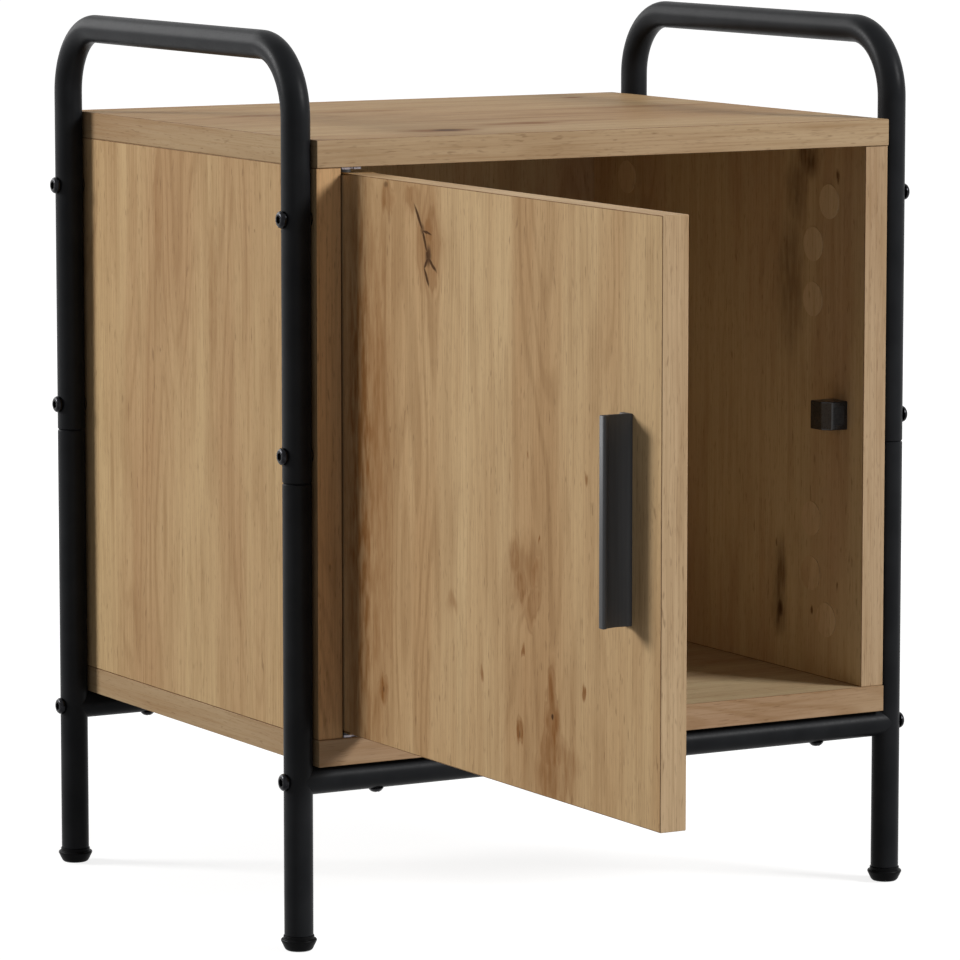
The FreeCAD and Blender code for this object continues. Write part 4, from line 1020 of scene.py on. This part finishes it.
@dataclass(frozen=True)
class Screw:
    """A screw with a domed head and a pressed cross recess; sizes in millimetres.

    Attributes:
        radius: Radius of the head.
        height: Height of the head.
        shank: Radius of the shank.
        length: Length below the head.
        recess: Radius of the cross.
        width: Width of the cross's arms.
        depth: Depth of the cross.
        soft: Width of the cross's sloping walls as a share of the arms' width.
        around: Points round the screw.
        rings: Rings on the head.
        hub: Last ring of the head as a share of its radius, and radius of the shank's tip.
    """

    radius: float
    height: float
    shank: float
    length: float
    recess: float
    width: float
    depth: float
    soft: float = 0.25
    around: int = 64
    rings: int = 22
    hub: float = 0.02

    def shape(self) -> Shape:
        """Builds the screw with its head's underside on the plane z = 0 and the shank below it.

        The head's top is a grid in radius r and angle a: its height is height * (1 - (r/radius)^3),
        less the depth of the recess times a smooth mask that is 1 inside the arms of the cross.

        Returns:
            The closed shape.
        """
        angle = full_turn(self.around)
        rows = np.linspace(1, self.hub, self.rings)[:, None] * self.radius
        arm = np.minimum(np.abs(rows * np.cos(angle)), np.abs(rows * np.sin(angle)))
        soft = self.soft * self.width
        inside = np.clip((self.width / 2 + soft - arm) / soft, 0, 1)
        inside = inside * np.clip((self.recess - rows) / soft, 0, 1)
        cross = self.depth * inside * inside * (3 - 2 * inside)
        top = self.height * (1 - (rows / self.radius) ** 3) - cross
        tip = -self.length
        under = np.array([(self.hub, tip), (self.shank, self.shank + tip), (self.shank, 0.0)])
        stem = np.repeat(under[:, 1:], self.around, axis=1)
        return turned(np.concatenate([under[:, :1], rows]), np.concatenate([stem, top]), angle)

    def set_at(self, spots: list[Point], axis: Point) -> Shape:
        """Sets a screw at each spot, its head turned to an axis."""
        one = self.shape()
        return merged([one.placed(spot, axis) for spot in spots])


@dataclass(frozen=True)
class Bolt:
    """A domed bolt head with a hexagon socket; sizes in millimetres.

    Attributes:
        radius: Radius of the head.
        height: Height of the head.
        dome: Radius of the rounded rim.
        key: Width of the socket across its flats.
        key_depth: Depth of the socket.
        edge: Width of the bevel under the rim.
        bevel: Height of that bevel, and bevel of the socket's mouth.
        hub: Radius of the closed middle of the underside.
        floor: Closed middle of the socket's floor as a share of the socket.
        around: Points round the head.
        rings: Rings on the rounded rim.
    """

    radius: float = 4.8
    height: float = 2.8
    dome: float = 2.2
    key: float = 4.0
    key_depth: float = 1.6
    edge: float = 0.2
    bevel: float = 0.15
    hub: float = 0.3
    floor: float = 0.1
    around: int = 72
    rings: int = 9

    def shape(self) -> Shape:
        """Builds the head: a flat underside, a rounded rim, and a socket with a hexagon's wall.

        The socket's radius at the angle a is half the key over cos(a'), where a' is a folded into
        30 degrees either side of a flat's middle.

        Returns:
            The head, on the plane z = 0.
        """
        angle = full_turn(self.around)
        turn = np.linspace(0, math.pi / 2, self.rings)
        rim = self.radius - self.dome + self.dome * np.cos(turn)
        rise = self.height - self.dome + self.dome * np.sin(turn)
        outer = np.concatenate([[self.hub, self.radius - self.edge, self.radius], rim])
        hexagon = self.key / 2 / np.cos(np.mod(angle, math.pi / 3) - math.pi / 6)
        socket = np.stack([hexagon + self.bevel, hexagon, hexagon, self.floor * hexagon])
        depth = np.array([0.0, self.bevel, self.key_depth, self.key_depth])
        radius = np.concatenate([np.repeat(outer[:, None], self.around, axis=1), socket])
        height = np.concatenate([[0.0, 0.0, self.bevel], rise, self.height - depth])
        return turned(radius, height[:, None], angle)


@dataclass
class Cabinet:
    """The boards of the cabinet, their edge bands, joints and cover discs.

    Attributes:
        edge: Radius of the boards' edges in millimetres.
    """

    edge: float = 0.5

    def board(
        self,
        node: str,
        body: str,
        normal: Axis,
        lower: Finish,
        upper: Finish,
        bands: dict[Axis, OakPrint],
    ) -> None:
        """Builds one board with a finish on each broad face and bands round its edges.

        Args:
            node: CAD node of the board.
            body: Body that it rides on.
            normal: Axis across the board.
            lower: Finish on the face towards the axis's lower end.
            upper: Finish on the other face.
            bands: Finishes of the edge bands by the run of their grain.
        """
        shape = rounded_board(*box_mm(node), self.edge, normal)
        sides = [bands[axis] for axis in Axis if axis is not normal]
        finishes = [lower, upper, GLUE_LINE, *sides]
        make_piece(f"{node}_board", shape, finishes, body, node)

    def build(self) -> None:
        """Builds the boards and dresses the joints."""
        self.board("top_panel", "cabinet", Axis.Z, OAK_SHELF, OAK_TOP, OAK_BANDS)
        self.board("bottom_panel", "cabinet", Axis.Z, OAK_BOTTOM, OAK_SHELF, OAK_BANDS)
        self.board("left_side_panel", "cabinet", Axis.X, OAK_LEFT, OAK_LINING, BOUNCE_LIT_SIDE_BANDS)
        self.board("right_side_panel", "cabinet", Axis.X, OAK_CATCH_SIDE, OAK_RIGHT, OAK_BANDS)
        self.board("back_panel", "cabinet", Axis.Y, OAK_BACK, HARDBOARD, OAK_BANDS)
        dress_nodes(OAK_FILM, "cover_discs")
        dress_nodes(BEECH, "wood_dowels")
        dress_nodes(CLEAR_ZINC, "cam_locks", "cam_dowels", "back_nails", "panel_inserts")


@dataclass
class TubeFrame:
    """The black tube frame with its feet, bolts and screws; sizes in millimetres.

    Attributes:
        radius: Radius of the tube.
        wall: Wall of the tube.
        bend: Radius of the bows' bends at the tube's middle line.
        bevel: Bevel at the seams.
        rim: Bevel at a leg's lower end.
        hub: Radius of the closed middle of a leg's ends.
        bore: Depth of the open bore at a bow's ends.
        neck_gap: Space between a neck and the bow round it.
        cope: Space between a cross tube's end and the leg that it is coped to.
        around: Points round a tube.
        foot_around: Points round a foot.
        bend_rings: Rings on a bend.
        cross_rings: Rings on a cross tube.
        bolt: Bolt on the outer side of the legs.
        screw: Screw under the cross tubes.
    """

    radius: float = 8.0
    wall: float = 1.2
    bend: float = 38.0
    bevel: float = 0.7
    rim: float = 0.3
    hub: float = 0.5
    bore: float = 32.0
    neck_gap: float = 0.1
    cope: float = 0.05
    around: int = 56
    foot_around: int = 48
    bend_rings: int = 25
    cross_rings: int = 9
    bolt: Bolt = Bolt()
    screw: Screw = Screw(
        radius=4.3, height=2.4, shank=2.0, length=20.0, recess=2.6, width=0.9, depth=1.1
    )

    def tube(self, node: str, shape: Shape) -> None:
        """Makes the piece of a coated tube."""
        make_piece(f"{node}_tube", shape, [POWDER_COAT], "cabinet", node)

    def bow(self, node: str) -> None:
        """Carries rings along a line that rises from the seam, bends over the top and falls again.

        With the turns a and b of the front and rear bends, each from 0 to a quarter turn,
        y = front + bend (1 - cos a) + run + bend sin b and z = seam + rise + bend sin a
        - bend (1 - cos b) - fall, where rise, run and fall are the straight lengths passed so far.

        Args:
            node: CAD node of the bow.
        """
        low, high = box_mm(node)
        front, rear = low[1] + self.radius, high[1] - self.radius
        seam = low[2]
        straight = high[2] - self.radius - self.bend - seam
        arc = self.bend * math.pi / 2
        top = rear - front - 2 * self.bend
        whole = 2 * straight + 2 * arc + top
        inner = self.radius - self.wall
        in_arc = arc * np.linspace(0, 1, self.bend_rings)
        bends = np.concatenate([straight + in_arc, straight + arc + top + in_arc])
        end = np.array([self.bore, 0.0, 0.0, self.bevel])
        way = np.concatenate([end, bends, whole - end[::-1]])
        ends = np.array([inner, inner, self.radius - self.bevel, self.radius])
        radius = np.concatenate([ends, np.full(len(bends), self.radius), ends[::-1]])[:, None]
        a = np.clip((way - straight) / arc, 0, 1) * math.pi / 2
        b = np.clip((way - straight - arc - top) / arc, 0, 1) * math.pi / 2
        rise = np.clip(way, 0, straight)
        run = np.clip(way - straight - arc, 0, top)
        fall = np.clip(way - straight - 2 * arc - top, 0, straight)
        y = front + self.bend * (1 - np.cos(a)) + run + self.bend * np.sin(b)
        z = seam + rise + self.bend * np.sin(a) - self.bend * (1 - np.cos(b)) - fall
        angle = full_turn(self.around)
        out = radius * np.sin(angle)
        heading = (a + b)[:, None]
        places = (
            middle_mm(node)[0] + radius * np.cos(angle),
            y[:, None] + out * np.cos(heading),
            z[:, None] - out * np.sin(heading),
        )
        self.tube(node, skin(np.stack(places, axis=2)))

    def leg(self, node: str, seam: float) -> None:
        """Spins a leg: a tube with a bevelled shoulder at the seam and a neck inside the bow.

        Args:
            node: CAD node of the leg.
            seam: Height of the seam.
        """
        low, high = box_mm(node)
        bottom, top = low[2], high[2]
        neck = self.radius - self.wall - self.neck_gap
        profile = np.array([
            (self.hub, bottom + self.wall),
            (self.radius - self.wall, bottom),
            (self.radius - self.rim, bottom),
            (self.radius, bottom + self.rim),
            (self.radius, seam - self.bevel),
            (self.radius - self.bevel, seam),
            (neck, seam),
            (neck, top),
            (self.hub, top),
        ])
        self.tube(node, spun(profile, self.around, middle_mm(node)))

    def foot(self, node: str) -> None:
        """Spins a foot cap: a tapered base, a rounded flange, a collar and a ribbed plug.

        Args:
            node: CAD node of the foot.
        """
        low, high = box_mm(node)
        hub, plug, rib, collar, flange = 0.4, 5.7, 6.7, 8.5, (high[0] - low[0]) / 2
        # rows of radius, height and rounding, from the sole up to the plug's end
        base = [(hub, 0.0, 0), (6.8, 0.0, 0.6), (7.8, 1.0, 1.2), (flange, 5.6, 0.7)]
        shoulder = [(flange - 0.5, 6.5, 0.5), (collar, 6.5, 0.25), (collar, 8.3, 0.25)]
        ribs = [(plug, 12.0, 0), (rib, 12.0, 0), (plug, 13.6, 0)]
        ribs += [(plug, 17.3, 0), (rib, 17.3, 0), (plug, 19.0, 0)]
        end = [(plug, high[2], 0), (hub, high[2], 0)]
        outline = softened(np.array([*base, *shoulder, (plug, 8.3, 0), *ribs, *end]))
        shape = spun(outline, self.foot_around, middle_mm(node))
        make_piece(f"{node}_cap", shape, [PLASTIC], "cabinet", node)

    def cross_tube(self, node: str) -> None:
        """Builds a cross tube whose ends are coped round the legs.

        At the angle a round the tube its end lies at
        x = legs - sqrt((radius + cope)^2 - (radius sin a)^2).

        Args:
            node: CAD node of the tube.
        """
        legs = abs(box_mm("left_bow")[1][0] - self.radius)
        middle = middle_mm(node)
        angle = full_turn(self.around)
        side = self.radius * np.sin(angle)
        end = legs - np.sqrt((self.radius + self.cope) ** 2 - side**2)
        share = np.linspace(-1, 1, self.cross_rings)[:, None]
        places = (share * end, middle[1] + side, middle[2] + self.radius * np.cos(angle))
        self.tube(node, skin(np.stack(np.broadcast_arrays(*places), axis=2)))

    def bolts(self, node: str, heights: tuple[float, ...]) -> None:
        """Puts a bolt head on the outer side of each leg at some heights.

        Args:
            node: CAD node of the bolts.
            heights: Heights of the bolts.
        """
        head = self.bolt.shape()
        shapes = []
        for leg in (f"{side}_{row}_leg" for side in SIDES for row in ROWS):
            low, high = box_mm(leg)
            outward = math.copysign(1.0, low[0])
            x = high[0] if outward > 0 else low[0]
            y = middle_mm(leg)[1]
            shapes += [head.placed((x, y, height), (outward, 0.0, 0.0)) for height in heights]
        make_piece(f"{node}_heads", merged(shapes), [BLACK_ZINC], "cabinet", node)

    def build(self) -> None:
        """Builds the tubes, feet and fasteners."""
        seam = box_mm("left_bow")[0][2]
        for side in SIDES:
            self.bow(f"{side}_bow")
            for row in ROWS:
                self.leg(f"{side}_{row}_leg", seam)
                self.foot(f"{side}_{row}_foot")
        for row in ROWS:
            self.cross_tube(f"{row}_cross_tube")
        upper = box_mm("side_bolts")[1][2] - self.bolt.radius
        middle = (box_mm("top_panel")[1][2] + box_mm("bottom_panel")[0][2]) / 2
        self.bolts("side_bolts", (upper, middle))
        self.bolts("leg_bolts", (middle_mm("front_cross_tube")[2],))
        node = "cross_tube_screws"
        low, high = box_mm(node)
        near, far = low + self.screw.radius, high - self.screw.radius
        z = low[2] + self.screw.height
        spots = [(x, y, z) for x in (near[0], far[0]) for y in (near[1], far[1])]
        heads = self.screw.set_at(spots, (0.0, 0.0, -1.0))
        make_piece("cross_tube_screw_heads", heads, [BLACK_ZINC], "cabinet", node)
        dress_nodes(PLASTIC, "cross_tube_plugs")


@dataclass
class Door:
    """The door board with its profile handle, screws and strike plate; sizes in millimetres.

    Attributes:
        lip: How far the handle's lip stands out sideways.
        lip_depth: Depth of the lip, measured back from the tip.
        blade: Thickness of the handle's blade.
        base: Thickness of the handle's base.
        hollow: Depth of the hollow finger face.
        land: Flat land beside the door before the hollow begins.
        ease: Eased rims at the handle's ends.
        edge: Reach of the rounding at the section's corners.
        fillet: Reach of the rounding between base and blade.
        lip_edge: Reach of the rounding at the lip's rear corner.
        hollow_edge: Reach of the rounding where the hollow begins.
        hollow_steps: Points along the hollow.
        crease: Angle in degrees above which the handle's edges stay sharp.
        screw: Screw behind the handle.
    """

    lip: float = 2.0
    lip_depth: float = 4.2
    blade: float = 2.6
    base: float = 3.2
    hollow: float = 1.0
    land: float = 1.0
    ease: float = 0.35
    edge: float = 1.2
    fillet: float = 2.8
    lip_edge: float = 1.0
    hollow_edge: float = 0.5
    hollow_steps: int = 17
    crease: float = 50.0
    screw: Screw = Screw(
        radius=3.8, height=2.2, shank=2.0, length=12.0, recess=2.4, width=0.85, depth=1.0
    )

    def handle_outline(self) -> Array:
        """Draws the handle's section: a base, a blade with a hollow side, and a lip at the tip.

        The hollow is a parabola: at the share t of its length it is 4 hollow t (1 - t) deep.

        Returns:
            Points in X and Y, anticlockwise.
        """
        low, high = box_mm("door_handle")
        tip, door = low[0], high[0]
        side = low[1] + self.lip
        share = np.linspace(0, 1, self.hollow_steps)
        hollow = np.zeros((self.hollow_steps, 3))
        start = tip + self.lip_depth
        hollow[:, 0] = start + share * (door - self.land - tip - self.lip_depth)
        hollow[:, 1] = side + 4 * self.hollow * share * (1 - share)
        hollow[0, 2] = self.hollow_edge
        return softened(np.array([
            (door, high[1], 0.0),
            (door - self.base, high[1], self.edge),
            (door - self.base, side + self.blade, self.fillet),
            (tip, side + self.blade, self.edge),
            (tip, low[1], self.edge),
            (start - self.lip, low[1], self.lip_edge),
            *hollow,
            (door, side, 0.0),
        ]))

    def build(self, cabinet: Cabinet) -> None:
        """Builds the door's pieces.

        Args:
            cabinet: Cabinet whose boards the door's board matches.
        """
        cabinet.board("door_panel", "door", Axis.X, OAK_DOOR, OAK_DOOR_INNER, DOOR_BANDS)
        node = "door_handle"
        low, high = box_mm(node)
        bar = drawn_bar(self.handle_outline(), low[2], high[2], self.ease)
        make_piece(f"{node}_bar", bar, [ANODISED], "door", node, self.crease)
        node = "handle_screws"
        low, high = box_mm(node)
        x, y = high[0] - self.screw.height, middle_mm(node)[1]
        levels = (low[2] + self.screw.radius, high[2] - self.screw.radius)
        heads = self.screw.set_at([(x, y, z) for z in levels], (1.0, 0.0, 0.0))
        make_piece("handle_screw_heads", heads, [CLEAR_ZINC], "door", node)
        dress_nodes(CLEAR_ZINC, "strike_plate", "strike_screw")


@dataclass
class Fittings:
    """The hinges and the magnetic catch, which are CAD nodes in finishes of their own.

    Attributes:
        zinc: Hinge nodes of clear zinc plate.
        gold: Hinge nodes of yellow zinc plate.
    """

    zinc: tuple[str, ...] = (
        "upper_hinge_plate", "lower_hinge_plate", "hinge_pins", "hinge_plate_screws"
    )
    gold: tuple[str, ...] = ("upper_hinge_leaf", "lower_hinge_leaf", "hinge_leaf_screws")

    def build(self) -> None:
        """Dresses the hinges and the catch."""
        dress_nodes(CLEAR_ZINC, *self.zinc)
        dress_nodes(YELLOW_ZINC, *self.gold)
        dress_nodes(NYLON, "hinge_washers")
        dress_nodes(ACETAL, "catch_housing")
        dress_nodes(FERRITE, "catch_magnet")


@dataclass(frozen=True)
class Lamp:
    """A square lamp that is aimed at the cabinet.

    Attributes:
        name: Name of the lamp.
        direction: Direction from the cabinet to the lamp.
        level: Light on a surface that faces it, where 1 shows a colour as it is written.
        size: Side of the lamp in metres.
        diffuse: Whether it lights surfaces, or only shows as a sheen on them.
    """

    name: str
    direction: Point
    level: float
    size: float
    diffuse: bool = True


@dataclass
class Studio:
    """A pale floor, two soft lamps and one for the tubes' sheen, a dim sky and the camera.

    Attributes:
        lens: Focal length in millimetres.
        sensor: Width of the camera's frame in millimetres.
        clip_end: How far the camera sees, in metres.
        camera_place: Place of the camera in metres.
        camera_yaw: Turn of the view from +Y towards +X, in radians.
        camera_pitch: Downward tilt of the view, in radians.
        lamps: The lamps.
        lamp_distance: Distance of the lamps in metres.
        lamp_target: Place that the lamps are aimed at, in metres.
        sky: Light of the sky.
        floor_reach: Half the side of the floor in metres.
        floor_drop: Height of the feet above the floor in millimetres.
    """

    lens: float = 204.975
    sensor: float = 36.0
    clip_end: float = 200.0
    camera_place: Point = (-1.55597, -2.73675, 0.63823)
    camera_yaw: float = 0.51788
    camera_pitch: float = 0.12886
    lamps: tuple[Lamp, ...] = (
        Lamp("left_lamp", (-0.735, 0.585, 0.34), level=0.88, size=1.2),
        Lamp("right_lamp", (0.578, -0.662, 0.477), level=0.9, size=1.3),
        Lamp("sheen_lamp", (-0.344, 0.861, 0.373), level=0.3, size=2.4, diffuse=False),
    )
    lamp_distance: float = 4.5
    lamp_target: Point = (0.0, -0.15, 0.25)
    sky: float = 0.125
    floor_reach: float = 30.0
    floor_drop: float = 0.3

    def hang(self, lamp: Lamp) -> None:
        """Hangs a lamp; its power for a level of 1 is pi squared times its distance squared.

        Args:
            lamp: Lamp to hang.
        """
        data = bpy.data.lights.new(lamp.name, "AREA")
        data.size = lamp.size
        data.energy = lamp.level * math.pi**2 * self.lamp_distance**2
        hung = bpy.data.objects.new(lamp.name, data)
        aim = Vector(lamp.direction).normalized()
        hung.location = Vector(self.lamp_target) + aim * self.lamp_distance
        hung.rotation_euler = aim.to_track_quat("Z", "Y").to_euler()
        hung.visible_diffuse = lamp.diffuse
        bpy.context.scene.collection.objects.link(hung)

    def build(self) -> None:
        """Builds the floor, the sky, the lamps and the camera."""
        mesh = bpy.data.meshes.new("floor")
        corners = self.floor_reach * np.array([(-1, -1), (1, -1), (1, 1), (-1, 1)])
        depth = np.full(len(corners), -self.floor_drop * MM)
        mesh.from_pydata(np.c_[corners, depth], [], [(0, 1, 2, 3)])
        mesh.materials.append(StudioPaper().material())
        floor = bpy.data.objects.new("floor", mesh)
        bpy.context.scene.collection.objects.link(floor)

        world = bpy.data.worlds.new("studio")
        world.use_nodes = True
        bpy.context.scene.world = world
        tree = world.node_tree
        level = {"Value": seen(tree), "To Min": self.sky, "To Max": 1.0}
        strength = add_node(tree, "MapRange", level).outputs[0]
        connect(tree, tree.nodes["Background"], {"Color": WHITE, "Strength": strength})

        for lamp in self.lamps:
            self.hang(lamp)

        data = bpy.data.cameras.new("camera")
        data.sensor_width = self.sensor
        data.lens = self.lens
        data.clip_end = self.clip_end
        camera = bpy.data.objects.new("camera", data)
        camera.location = self.camera_place
        camera.rotation_euler = (math.pi / 2 - self.camera_pitch, 0.0, -self.camera_yaw)
        bpy.context.scene.collection.objects.link(camera)
        bpy.context.scene.camera = camera
        bpy.context.scene.view_settings.view_transform = "Standard"


def main() -> None:
    """Builds the sub-assemblies in order."""
    logging.basicConfig(level=logging.INFO, format="%(message)s")
    cabinet = Cabinet()
    cabinet.build()
    TubeFrame().build()
    Door().build(cabinet)
    Fittings().build()
    Studio().build()


if __name__ == "__main__":
    main()
